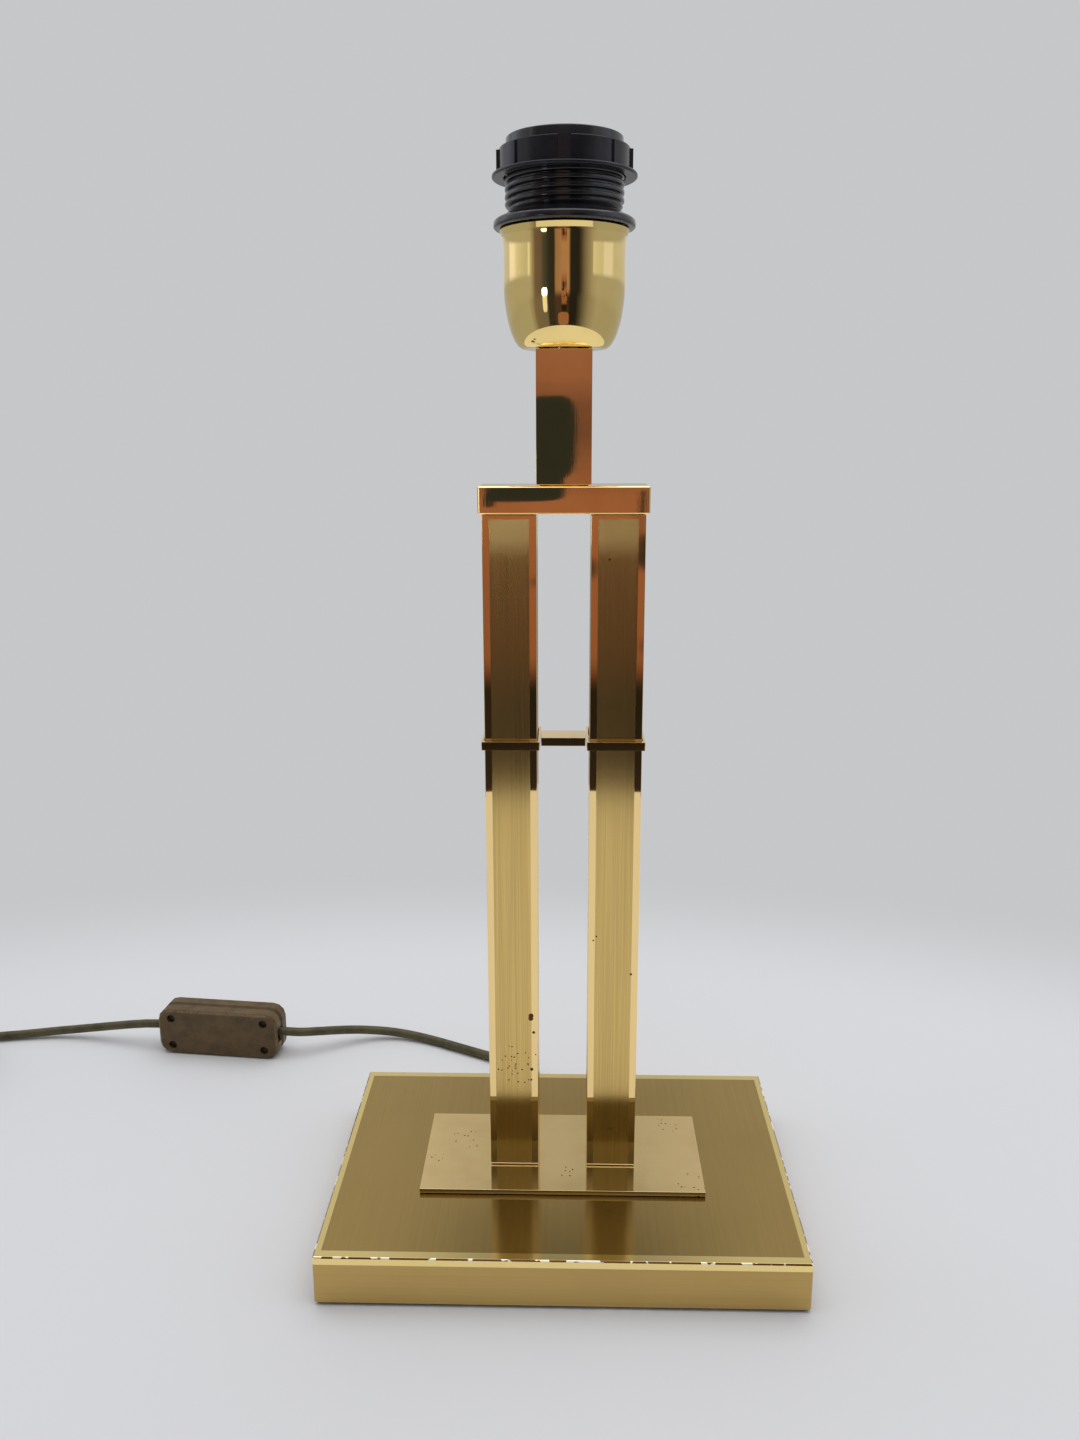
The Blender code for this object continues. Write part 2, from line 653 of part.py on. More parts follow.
def make_stem(parent):
    plate = prism("foot_plate", rectangle(FOOT_PLATE_WIDTH, FOOT_PLATE_DEPTH), FOOT_PLATE_BOTTOM,
                  FOOT_PLATE_TOP, polished_brass("foot_plate_brass"), parent)
    combine(plate, hole_cutter("plate_stem_holes", stem_holes(), FOOT_PLATE_BOTTOM - CUT_OVERRUN,
                               FOOT_PLATE_TOP + CUT_OVERRUN, parent))
    for side, label in ((-1, "left"), (1, "right")):
        x = side * COLUMN_SPACING / 2
        square_tube("column_" + label, COLUMN_SIDE, COLUMN_WALL, COLUMN_BOTTOM, COLUMN_TOP,
                    brushed_brass("column_brass_" + label), parent, x)
        shape = bmesh.new()
        outer = moved(rectangle(COLLAR_WIDTH, COLLAR_DEPTH), x, 0)
        inner_side = COLUMN_SIDE + 2 * GAP
        add_frame(shape, outer, moved(rectangle(inner_side, inner_side), x, 0), COLLAR_BOTTOM,
                  COLLAR_TOP)
        finish_mesh("collar_" + label, shape, polished_brass("collar_brass_" + label), parent, False)
        make_tie_rod(label, x, parent)
    bridge_width = COLUMN_SPACING - COLLAR_WIDTH - 2 * GAP
    prism("collar_bridge", rectangle(bridge_width, BRIDGE_DEPTH), COLLAR_BOTTOM, COLLAR_TOP,
          polished_brass("bridge_brass"), parent)


def make_tie_rod(label, x, parent):
    lower_nut_top = WEIGHT_BOTTOM - GAP
    upper_nut_bottom = BAR_PLATE_TOP + GAP
    low = lower_nut_top - ROD_NUT_HEIGHT - ROD_END
    high = upper_nut_bottom + ROD_NUT_HEIGHT + ROD_END
    turned("tie_rod_" + label, rod_profile(ROD_RADIUS, low, high), steel("tie_rod_steel_" + label),
           parent, SMALL_SEGMENTS, Matrix.Translation((x, 0, 0)))
    outer = moved(polygon(ROD_NUT_RADIUS, SMALL_SEGMENTS), x, 0)
    inner = moved(polygon(ROD_RADIUS + GAP, SMALL_SEGMENTS), x, 0)
    nut_bottoms = {"lower": lower_nut_top - ROD_NUT_HEIGHT, "upper": upper_nut_bottom}
    for place, nut_bottom in nut_bottoms.items():
        shape = bmesh.new()
        add_frame(shape, outer, inner, nut_bottom, nut_bottom + ROD_NUT_HEIGHT)
        name = "tie_rod_nut_%s_%s" % (place, label)
        finish_mesh(name, shape, steel(name + "_steel"), parent, True)


def make_top_bar(parent):
    bar = open_box("top_bar", BAR_WIDTH, BAR_DEPTH, BAR_BOTTOM, BAR_TOP,
                   polished_brass("top_bar_brass"), parent)
    pipe_hole = [(0, 0, PIPE_RADIUS + GAP)]
    combine(bar, hole_cutter("bar_pipe_hole", pipe_hole, PIPE_BOTTOM, NECK_TOP, parent))
    plate_width = BAR_WIDTH - 2 * SHELL_WALL - 2 * GAP
    plate_depth = BAR_DEPTH - 2 * SHELL_WALL - 2 * GAP
    plate = prism("top_bar_plate", rectangle(plate_width, plate_depth), BAR_BOTTOM, BAR_PLATE_TOP,
                  steel("bar_plate_steel"), parent)
    combine(plate, hole_cutter("bar_plate_holes", stem_holes(), BAR_BOTTOM - CUT_OVERRUN,
                               BAR_PLATE_TOP + CUT_OVERRUN, parent))
    square_tube("neck", NECK_SIDE, NECK_WALL, NECK_BOTTOM, NECK_TOP, polished_brass("neck_brass"),
                parent)

    shape = bmesh.new()
    add_frame(shape, polygon(PIPE_RADIUS, SMALL_SEGMENTS), polygon(PIPE_BORE, SMALL_SEGMENTS),
              PIPE_BOTTOM, PIPE_TOP)
    finish_mesh("neck_pipe", shape, steel("neck_pipe_steel"), parent, True)
    nut_bottoms = {
        "pipe_nut_lower": BAR_TOP - SHELL_WALL - GAP - PIPE_NUT_HEIGHT,
        "pipe_nut_upper": CUP_BOTTOM + CUP_WALL + GAP,
    }
    for name, bottom in nut_bottoms.items():
        shape = bmesh.new()
        sides = NUT_SIDES * 2
        outer = polygon(PIPE_NUT_RADIUS, NUT_SIDES)
        middle = [tuple((Vector(outer[i]) + Vector(outer[(i + 1) % NUT_SIDES])) / 2)
                  for i in range(NUT_SIDES)]
        outline = [point for pair in zip(outer, middle) for point in pair]
        add_frame(shape, outline, polygon(PIPE_RADIUS + GAP, sides), bottom, bottom + PIPE_NUT_HEIGHT)
        finish_mesh(name, shape, steel(name + "_steel"), parent, False)


def cup_outline(inset):
    """The cup's side from its flat bottom to its lip, moved in by an inset."""
    points = []
    for step in range(CUP_ROUND_STEPS + 1):
        angle = math.pi / 2 * step / CUP_ROUND_STEPS
        radius = CUP_FLAT_RADIUS + (CUP_RADIUS - CUP_FLAT_RADIUS - inset) * math.sin(angle)
        height = CUP_BOTTOM + inset + (CUP_ROUND_HEIGHT - inset) * (1 - math.cos(angle))
        points.append((radius, height))
    for step in range(CUP_FLARE_STEPS + 1):
        share = step / CUP_FLARE_STEPS
        radius = CUP_RADIUS - inset + (CUP_LIP_RADIUS - CUP_RADIUS) * share ** 2
        height = CUP_BOTTOM + CUP_FLARE_START + (CUP_HEIGHT - CUP_FLARE_START) * share
        points.append((radius, height))
    return points


def make_cup(parent):
    bore = PIPE_RADIUS + GAP
    profile = [(bore, CUP_BOTTOM)] + cup_outline(0)
    profile += list(reversed(cup_outline(CUP_WALL)))
    profile.append((bore, CUP_BOTTOM + CUP_WALL))
    turned("holder_cup", profile, polished_brass("holder_cup_brass"), parent)


def thread_rows(crest, depth, pitch, low, high, rows_per_turn, segments):
    """Rings of a helical thread: each ring is (height, list of radii round it)."""
    count = max(2, round((high - low) / pitch * rows_per_turn))
    rows = []
    for row in range(count + 1):
        height = low + (high - low) * row / count
        radii = []
        for index in range(segments):
            phase = (height - low) / pitch - index / segments
            wave = (1 + math.cos(math.tau * phase)) / 2
            radii.append(crest - depth * (1 - wave))
        if row in (0, count):
            radii = [crest - depth] * segments
        rows.append((height, radii))
    return rows


def add_ring_body(shape, rings, segments):
    """One solid: rings of (height, radii) joined in a closed loop, as a turned profile is."""
    loops = []
    for height, radii in rings:
        loop = []
        for index in range(segments):
            angle = math.tau * index / segments
            loop.append(shape.verts.new((radii[index] * math.cos(angle), radii[index] * math.sin(angle),
                                         height)))
        loops.append(loop)
    for loop_index in range(len(loops)):
        loop = loops[loop_index]
        following = loops[(loop_index + 1) % len(loops)]
        for index in range(segments):
            after = (index + 1) % segments
            shape.faces.new((loop[index], loop[after], following[after], following[index]))


def plain_ring(radius, height, segments):
    return (height, [radius] * segments)


def make_sleeve(parent):
    segments = ROUND_SEGMENTS
    middle = (SKIRT_BOTTOM + SKIRT_TOP) / 2
    root = SLEEVE_THREAD_RADIUS - SLEEVE_THREAD_DEPTH
    rings = [plain_ring(SLEEVE_BORE, INSULATOR_TOP + GAP, segments),
             plain_ring(SLEEVE_SPIGOT_RADIUS, INSULATOR_TOP + GAP, segments),
             plain_ring(SLEEVE_SPIGOT_RADIUS, SKIRT_BOTTOM, segments),
             plain_ring(CUP_LIP_RADIUS - CUP_WALL, SKIRT_BOTTOM, segments),
             plain_ring((CUP_LIP_RADIUS + SKIRT_RADIUS) / 2, (SKIRT_BOTTOM * 3 + middle) / 4, segments),
             plain_ring(SKIRT_RADIUS, (SKIRT_BOTTOM + middle) / 2, segments),
             plain_ring(SKIRT_RADIUS, middle, segments),
             plain_ring((SKIRT_RADIUS * 2 + root) / 3, (SKIRT_TOP + middle) / 2, segments)]
    rings += thread_rows(SLEEVE_THREAD_RADIUS, SLEEVE_THREAD_DEPTH, SLEEVE_PITCH, SKIRT_TOP, THREAD_TOP,
                         THREAD_ROWS_PER_TURN, segments)
    rings += [plain_ring(SLEEVE_RIM_RADIUS, THREAD_TOP + GAP, segments),
              plain_ring(SLEEVE_RIM_RADIUS, SLEEVE_TOP - GAP, segments),
              plain_ring(SLEEVE_RIM_RADIUS - GAP, SLEEVE_TOP, segments),
              plain_ring(SLEEVE_BORE + GAP, SLEEVE_TOP, segments),
              plain_ring(SLEEVE_BORE, SLEEVE_TOP - GAP, segments)]
    shape = bmesh.new()
    add_ring_body(shape, rings, segments)
    finish_mesh("holder_sleeve", shape, black_plastic("sleeve_plastic"), parent, True)


def make_shade_ring(parent):
    """The threaded ring that clamps a shade, with its origin on its axis."""
    carrier = empty("shade_ring_axis", (0, 0, RING_BOTTOM))
    carrier.parent = parent
    bore = SLEEVE_THREAD_RADIUS + RING_CLEARANCE
    body_top = RING_FLANGE_THICKNESS + RING_BODY_HEIGHT
    profile = [
        (bore, 0),
        (RING_FLANGE_RADIUS, 0),
        (RING_FLANGE_RADIUS, RING_FLANGE_THICKNESS),
        (RING_BODY_RADIUS, RING_FLANGE_THICKNESS),
        (RING_BODY_RADIUS, body_top - GAP),
        (RING_BODY_RADIUS - GAP, body_top),
        (bore, body_top),
    ]
    ring = turned("shade_ring", profile, black_plastic("ring_plastic"), carrier)
    tabs = bmesh.new()
    grooves = bmesh.new()
    tab_low = RING_FLANGE_THICKNESS + (RING_BODY_HEIGHT - RING_TAB_HEIGHT) / 2
    tab_root = (RING_BODY_RADIUS + bore) / 2
    groove_depth = RING_TAB_RADIUS - RING_BODY_RADIUS + RING_GROOVE_DEPTH
    for quarter in range(RING_QUARTERS):
        turn = math.tau * quarter / RING_QUARTERS
        tab = moved(rectangle(RING_TAB_RADIUS - tab_root, RING_TAB_WIDTH),
                    (RING_TAB_RADIUS + tab_root) / 2, 0)
        add_prism(tabs, tab, tab_low, tab_low + RING_TAB_HEIGHT, Matrix.Rotation(turn, 4, "Z"))
        groove = moved(rectangle(groove_depth, RING_GROOVE_WIDTH), RING_TAB_RADIUS - groove_depth / 2, 0)
        add_prism(grooves, groove, RING_FLANGE_THICKNESS + GAP, body_top + CUT_OVERRUN,
                  Matrix.Rotation(turn + math.tau / RING_QUARTERS / 2, 4, "Z"))
    combine(ring, finish_mesh("ring_tabs", tabs, None, carrier, False), "UNION")
    combine(ring, finish_mesh("ring_grooves", grooves, None, carrier, False))


def make_contacts(parent):
    shell_outer = SHELL_BORE + SHELL_THREAD_DEPTH + SHELL_SHEET
    segments = SHELL_SEGMENTS
    shell_top = SHELL_BOTTOM + SHELL_LENGTH
    rings = thread_rows(shell_outer, SHELL_THREAD_DEPTH, SHELL_PITCH, SHELL_BOTTOM, shell_top,
                        SHELL_ROWS_PER_TURN, segments)
    inner = thread_rows(shell_outer - SHELL_SHEET, SHELL_THREAD_DEPTH, SHELL_PITCH, SHELL_BOTTOM,
                        shell_top, SHELL_ROWS_PER_TURN, segments)
    rings += list(reversed(inner))
    shape = bmesh.new()
    add_ring_body(shape, rings, segments)
    finish_mesh("contact_shell", shape, polished_brass("contact_shell_brass"), parent, True)

    dark = material("insulator_plastic", (0.05, 0.05, 0.055), 0.5, 0.0)
    collar_bottom = CUP_BOTTOM + CUP_WALL + GAP + PIPE_NUT_HEIGHT + GAP
    seat = shell_outer + GAP
    hollow = seat - 2 * CONTACT_SHEET
    profile = [
        (PIPE_RADIUS + GAP, collar_bottom),
        (COLLAR_NUT_RADIUS, collar_bottom),
        (COLLAR_NUT_RADIUS, INSULATOR_BOTTOM),
        (INSULATOR_RADIUS, INSULATOR_BOTTOM),
        (INSULATOR_RADIUS, INSULATOR_TOP),
        (seat, INSULATOR_TOP),
        (seat, SHELL_BOTTOM - GAP),
        (hollow, SHELL_BOTTOM - GAP),
        (hollow, FLOOR_TOP),
        (PIPE_RADIUS + GAP, FLOOR_TOP),
    ]
    turned("holder_insulator", profile, dark, parent)

    tongue = empty("centre_contact_axis", (-CONTACT_ROOT, 0, FLOOR_TOP + GAP + CONTACT_SHEET / 2))
    tongue.parent = parent
    rise = CONTACT_LIFT
    side_view = [
        (0, -CONTACT_SHEET / 2),
        (CONTACT_REACH, rise - CONTACT_SHEET / 2),
        (CONTACT_REACH, rise + CONTACT_SHEET / 2),
        (0, CONTACT_SHEET / 2),
    ]
    shape = bmesh.new()
    add_prism(shape, side_view, -CONTACT_WIDTH / 2, CONTACT_WIDTH / 2,
              Matrix.Rotation(math.pi / 2, 4, "X"))
    finish_mesh("centre_contact", shape, polished_brass("centre_contact_brass"), tongue, False)
    foot = moved(rectangle(CONTACT_FOOT, CONTACT_WIDTH), -CONTACT_ROOT - GAP - CONTACT_FOOT / 2, 0)
    prism("contact_foot", foot, FLOOR_TOP + GAP, FLOOR_TOP + GAP + CONTACT_SHEET,
          polished_brass("contact_foot_brass"), parent)

    block_low = FLOOR_TOP + GAP
    head_top = block_low + TERMINAL_SIZE
    head_low = head_top - CONTACT_SHEET
    for side, label in ((-1, "front"), (1, "back")):
        y = side * TERMINAL_OFFSET
        name = "holder_terminal_" + label
        block = prism(name, moved(rectangle(TERMINAL_SIZE, TERMINAL_SIZE), 0, y), block_low, head_low,
                      polished_brass(name + "_brass"), parent)
        head = turned(name + "_screw", rod_profile(TERMINAL_SCREW_RADIUS, head_low - CONTACT_SHEET, head_top),
                      None, parent, SMALL_SEGMENTS // 2, Matrix.Translation((0, y, 0)))
        combine(block, head, "UNION")


def smooth_route(points, spacing):
    """Points at an even spacing along a smooth curve through the given ones."""
    places = [Vector(point) for point in points]
    padded = [places[0] * 2 - places[1]] + places + [places[-1] * 2 - places[-2]]
    fine = []
    for index in range(1, len(padded) - 2):
        before, start, end, after = padded[index - 1:index + 3]
        for step in range(ROUTE_STEPS):
            t = step / ROUTE_STEPS
            fine.append(0.5 * (2 * start + (end - before) * t
                               + (2 * before - 5 * start + 4 * end - after) * t * t
                               + (3 * start - before - 3 * end + after) * t ** 3))
    fine.append(places[-1])
    lengths = [0.0]
    for index in range(1, len(fine)):
        lengths.append(lengths[-1] + (fine[index] - fine[index - 1]).length)
    count = max(2, round(lengths[-1] / spacing))
    result = []
    index = 0
    for number in range(count + 1):
        target = lengths[-1] * number / count
        while index < len(fine) - 2 and lengths[index + 1] < target:
            index += 1
        run = lengths[index + 1] - lengths[index]
        share = (target - lengths[index]) / run
        result.append(fine[index].lerp(fine[index + 1], min(1.0, share)))
    return result


def route_length(points):
    return sum((points[index + 1] - points[index]).length for index in range(len(points) - 1))


def tube(name, points, diameter, resolution, paint, parent):
    curve = bpy.data.curves.new(name, "CURVE")
    curve.dimensions = "3D"
    curve.bevel_depth = diameter / 2
    curve.bevel_resolution = resolution
    curve.use_fill_caps = True
    spline = curve.splines.new("POLY")
    spline.points.add(len(points) - 1)
    for index, point in enumerate(points):
        spline.points[index].co = (*point, 1.0)
    curve.materials.append(paint)
    made = bpy.data.objects.new(name, curve)
    bpy.context.scene.collection.objects.link(made)
    made.parent = parent
    return made


def cord_paint(name):
    return material(name, (0.105, 0.078, 0.035), 0.45, 0.0)


def switch_point(along, height):
    """A place on the switch's long middle line, in the lamp's frame."""
    return Vector((SWITCH_X + along * math.cos(SWITCH_TURN), SWITCH_Y + along * math.sin(SWITCH_TURN),
                   height))


def make_inner_wiring(parent):
    jacket = [Vector((CORD_INLET_X, GROMMET_TIP, CORD_HEIGHT)),
              Vector((CORD_INLET_X, JACKET_END, CORD_HEIGHT))]
    tube("inner_cord", smooth_route(jacket, CORD_POINT_SPACING), CORD_DIAMETER, CORD_BEVEL_RESOLUTION,
         cord_paint("inner_cord_vinyl"), parent)
    low_run = (LEG_BOTTOM + WEIGHT_BOTTOM) / 2
    bar_run = BAR_PLATE_TOP + LEAD_DIAMETER / 2 + GAP
    over_run = bar_run + LEAD_DIAMETER + 2 * GAP
    before_pipe = -PIPE_NUT_RADIUS - LEAD_DIAMETER
    routes = []
    for index, (x, y) in enumerate(lead_places()):
        side = 2 * index - 1
        start_x = CORD_INLET_X + side * LEAD_SPACING / 2
        pipe_y = -side * LEAD_SPACING / 2
        inside_end = FLOOR_TOP + LEAD_DIAMETER
        if side < 0:
            in_bar = [
                (x, y, bar_run),
                (x + LEAD_DIAMETER, y, over_run),
                (x + 4 * LEAD_DIAMETER, y, over_run),
                (before_pipe, y - LEAD_DIAMETER / 2, bar_run),
            ]
        else:
            in_bar = [
                (x, y, bar_run - LEAD_DIAMETER / 4),
                (x + LEAD_DIAMETER, y, bar_run + GAP),
                (before_pipe, y - 3 * LEAD_DIAMETER, bar_run),
            ]
        route = [
            (start_x, JACKET_END - GAP, CORD_HEIGHT),
            (start_x, JACKET_END - 3 * LEAD_DIAMETER, CORD_HEIGHT),
            (x, y + 4 * LEAD_DIAMETER, low_run),
            (x, y + LEAD_DIAMETER, low_run + LEAD_DIAMETER / 2),
            (x, y, WEIGHT_BOTTOM),
            (x, y, WEIGHT_TOP),
            (x, y, COLUMN_BOTTOM + COLUMN_LENGTH / 2),
            (x, y, COLUMN_TOP - LEAD_DIAMETER),
            *in_bar,
            (-LEAD_SPACING, pipe_y, bar_run),
            (0, pipe_y, PIPE_BOTTOM),
            (0, pipe_y, PIPE_BOTTOM + 2 * LEAD_DIAMETER),
            (0, pipe_y, PIPE_TOP - LEAD_DIAMETER),
            (0, -side * (LEAD_EXIT - LEAD_DIAMETER / 2), FLOOR_TOP - LEAD_DIAMETER),
            (0, -side * LEAD_EXIT, FLOOR_TOP + LEAD_DIAMETER / 4),
            (0, -side * (TERMINAL_OFFSET - TERMINAL_SIZE / 2 - 2 * GAP), inside_end),
        ]
        routes.append([Vector(point) for point in route])
    colours = {"inner_lead_blue": (0.02, 0.05, 0.2), "inner_lead_brown": (0.08, 0.03, 0.012)}
    for (name, colour), route in zip(colours.items(), routes):
        tube(name, route, LEAD_DIAMETER, LEAD_BEVEL_RESOLUTION,
             material(name + "_vinyl", colour, 0.5, 0.0), parent)


def coil_centre_y():
    return COIL_TOP_Y - coil_outer_radius()


def coil_turns_per_layer():
    return COIL_TURNS / COIL_LAYERS


def coil_outer_radius():
    return COIL_MEAN_RADIUS + COIL_STEP * coil_turns_per_layer() / 2


def coil_inner_radius():
    return COIL_MEAN_RADIUS - COIL_STEP * coil_turns_per_layer() / 2


def coil_points():
    """The cord's centre line in the coil: in and out again, climbing a layer at each reversal."""
    per_layer = coil_turns_per_layer()
    count = round(COIL_TURNS * COIL_POINTS_PER_TURN)
    points = []
    for index in range(count + 1):
        turns = COIL_TURNS * index / count
        layer = min(COIL_LAYERS - 1, int(turns / per_layer))
        within = turns - layer * per_layer
        inwards = within if layer % 2 == 0 else per_layer - within
        radius = coil_outer_radius() - COIL_STEP * inwards
        climb = 0.0
        for reversal in range(1, COIL_LAYERS):
            progress = (turns - reversal * per_layer) / COIL_CLIMB_TURNS + 0.5
            climb += min(1.0, max(0.0, progress))
        angle = math.pi / 2 + math.tau * turns
        points.append(Vector((COIL_X + radius * math.cos(angle),
                              coil_centre_y() + radius * math.sin(angle),
                              COIL_BOTTOM_HEIGHT + COIL_STEP * climb)))
    first = points[0] + Vector((CORD_DIAMETER, 0, 0))
    last = points[-1] + Vector((0, -CORD_DIAMETER, 0))
    return [first] + points + [last]


def report_least_gap(points):
    """Prints the least clear distance between the coil's turns, from its points."""
    half_turn = COIL_POINTS_PER_TURN // 2
    least = math.inf
    for index in range(len(points) - 1):
        for other in range(index + half_turn, len(points) - 1):
            for share in (0.0, 0.5):
                here = points[index].lerp(points[index + 1], share)
                start = points[other]
                run = points[other + 1] - start
                along = max(0.0, min(1.0, (here - start).dot(run) / run.length_squared))
                least = min(least, (here - start - run * along).length)
    print("Least gap between the coil's turns: %.2f mm" % ((least - CORD_DIAMETER) / MM))


def make_cords(parent):
    exit_point = Vector((CORD_INLET_X, GROMMET_TIP + GAP, CORD_HEIGHT))
    right_end = switch_point(SWITCH_LENGTH / 2, SWITCH_HEIGHT / 2)
    straight = exit_point + Vector((0, CORD_DIAMETER, 0))
    lamp_route = [straight] + [Vector(point) for point in LAMP_SIDE_ROUTE] + [right_end]
    lamp_points = [exit_point] + smooth_route(lamp_route, CORD_POINT_SPACING)
    lamp_points.append(switch_point(SWITCH_LENGTH / 2 - SWITCH_CORD_ENTRY, SWITCH_HEIGHT / 2))
    tube("cord_lamp_side", lamp_points, CORD_DIAMETER, CORD_BEVEL_RESOLUTION,
         cord_paint("cord_lamp_side_vinyl"), parent)

    coil = coil_points()
    left_end = switch_point(-SWITCH_LENGTH / 2, SWITCH_HEIGHT / 2)
    coil_start = coil[0] + Vector((GAP, 0, 0))
    before_coil = coil_start + Vector((CORD_DIAMETER, 0, 0))
    plug_route = [left_end] + [Vector(point) for point in PLUG_SIDE_ROUTE] + [before_coil]
    plug_points = smooth_route(plug_route, CORD_POINT_SPACING) + [coil_start]
    plug_points.insert(0, switch_point(SWITCH_CORD_ENTRY - SWITCH_LENGTH / 2, SWITCH_HEIGHT / 2))
    tube("cord_plug_side", plug_points, CORD_DIAMETER, CORD_BEVEL_RESOLUTION,
         cord_paint("cord_plug_side_vinyl"), parent)

    tube("cord_coil", coil, CORD_DIAMETER, COIL_BEVEL_RESOLUTION, cord_paint("cord_coil_vinyl"), parent)
    report_least_gap(coil)

    tail_start = coil[-1] + Vector((0, -GAP, 0))
    tail_lead = tail_start + Vector((0, -CORD_DIAMETER, 0))
    tail_end = Vector((TAIL_X, PLUG_END_Y + RELIEF_LENGTH + GAP, PLUG_THICKNESS / 2))
    before_end = tail_end + Vector((0, CORD_DIAMETER, 0))
    middle = [tail_lead.lerp(before_end, share) for share in TAIL_SHARES]
    tail_points = smooth_route([tail_lead] + middle + [before_end], CORD_POINT_SPACING)
    tail_points = [tail_start] + tail_points + [tail_end]
    tube("cord_tail", tail_points, CORD_DIAMETER, CORD_BEVEL_RESOLUTION,
         cord_paint("cord_tail_vinyl"), parent)
    for name, points in (("lamp side", lamp_points), ("plug side", plug_points), ("coil", coil),
                         ("tail", tail_points)):
        print("Cord, %s: %.1f mm" % (name, route_length(points) / MM))


def make_coil_tie(parent):
    """A band round the coil's bundle, standing across the turns."""
    radial = coil_outer_radius() - coil_inner_radius() + CORD_DIAMETER + 2 * TIE_CLEARANCE
    top = COIL_BOTTOM_HEIGHT + COIL_STEP * (COIL_LAYERS - 1) + CORD_DIAMETER / 2 + GAP
    inner_height = top - TIE_THICKNESS
    holder = empty("coil_tie_place", (COIL_X, coil_centre_y(), 0), TIE_TURN)
    holder.parent = parent
    centre = (coil_outer_radius() + coil_inner_radius()) / 2
    inner = rounded_rectangle(radial, inner_height, TIE_CLEARANCE, TIE_CORNER_STEPS)
    outer = rounded_rectangle(radial + 2 * TIE_THICKNESS, inner_height + 2 * TIE_THICKNESS,
                              TIE_CLEARANCE + TIE_THICKNESS, TIE_CORNER_STEPS)
    shape = bmesh.new()
    add_frame(shape, outer, inner, -TIE_WIDTH / 2, TIE_WIDTH / 2)
    stand = (Matrix.Translation((centre, 0, TIE_THICKNESS + inner_height / 2))
             @ Matrix.Rotation(math.pi / 2, 4, "X"))
    bmesh.ops.transform(shape, matrix=stand, verts=shape.verts)
    finish_mesh("coil_tie", shape, black_plastic("coil_tie_plastic"), holder, False)


def make_plug(parent):
    """A flat two-pin plug that lies on its wide side, pins towards -Y."""
    place = empty("plug_place", (TAIL_X, PLUG_END_Y, 0))
    place.parent = parent
    shoulder = PLUG_SHOULDER_LENGTH
    face = PLUG_LENGTH - PLUG_FACE_LENGTH
    outline = [
        (-PLUG_NECK_WIDTH / 2, 0),
        (-PLUG_WIDTH / 2, -shoulder),
        (-PLUG_WIDTH / 2, -face),
        (-PLUG_FACE_WIDTH / 2, -PLUG_LENGTH),
        (PLUG_FACE_WIDTH / 2, -PLUG_LENGTH),
        (PLUG_WIDTH / 2, -face),
        (PLUG_WIDTH / 2, -shoulder),
        (PLUG_NECK_WIDTH / 2, 0),
    ]
    body = prism("plug_body", outline, 0, PLUG_THICKNESS, brown_plastic("plug_plastic"), place)
    bevel_edges(body, PLUG_EDGE_ROUND, PLUG_SHARP_ANGLE)
    sockets = bmesh.new()
    middle = PLUG_THICKNESS / 2
    for side, label in ((-1, "left"), (1, "right")):
        placed = along_y(side * PLUG_PIN_SPACING / 2, -PLUG_LENGTH, middle)
        add_turned(sockets, rod_profile(PLUG_PIN_RADIUS + GAP, -PLUG_PIN_LENGTH, PLUG_PIN_ROOT + GAP),
                   SMALL_SEGMENTS, placed)
        tip = PLUG_PIN_RADIUS / 2
        pin = [(0, PLUG_PIN_ROOT), (PLUG_PIN_RADIUS, PLUG_PIN_ROOT),
               (PLUG_PIN_RADIUS, tip - PLUG_PIN_LENGTH), (tip, -PLUG_PIN_LENGTH), (0, -PLUG_PIN_LENGTH)]
        name = "plug_pin_" + label
        turned(name, pin, material(name + "_nickel", (0.55, 0.53, 0.5), 0.25, 1.0), place, SMALL_SEGMENTS,
               placed)
    combine(body, finish_mesh("plug_pin_sockets", sockets, None, place, False))
    relief = [
        (0, GAP),
        (RELIEF_ROOT_RADIUS, GAP),
        (RELIEF_TIP_RADIUS, RELIEF_LENGTH),
        (0, RELIEF_LENGTH),
    ]
    turned("plug_relief", relief, brown_plastic("plug_relief_plastic"), place, SMALL_SEGMENTS,
           along_y(0, 0, middle))


def switch_outline(inset):
    """The case's face in its own length and height, moved in by an inset."""
    return rounded_rectangle(SWITCH_LENGTH - 2 * inset, SWITCH_HEIGHT - 2 * inset,
                             SWITCH_CORNER - inset, SWITCH_CORNER_STEPS)


def switch_screw_places():
    return [(x, z) for x in (-SWITCH_SCREW_X, SWITCH_SCREW_X) for z in (-SWITCH_SCREW_Z, SWITCH_SCREW_Z)]


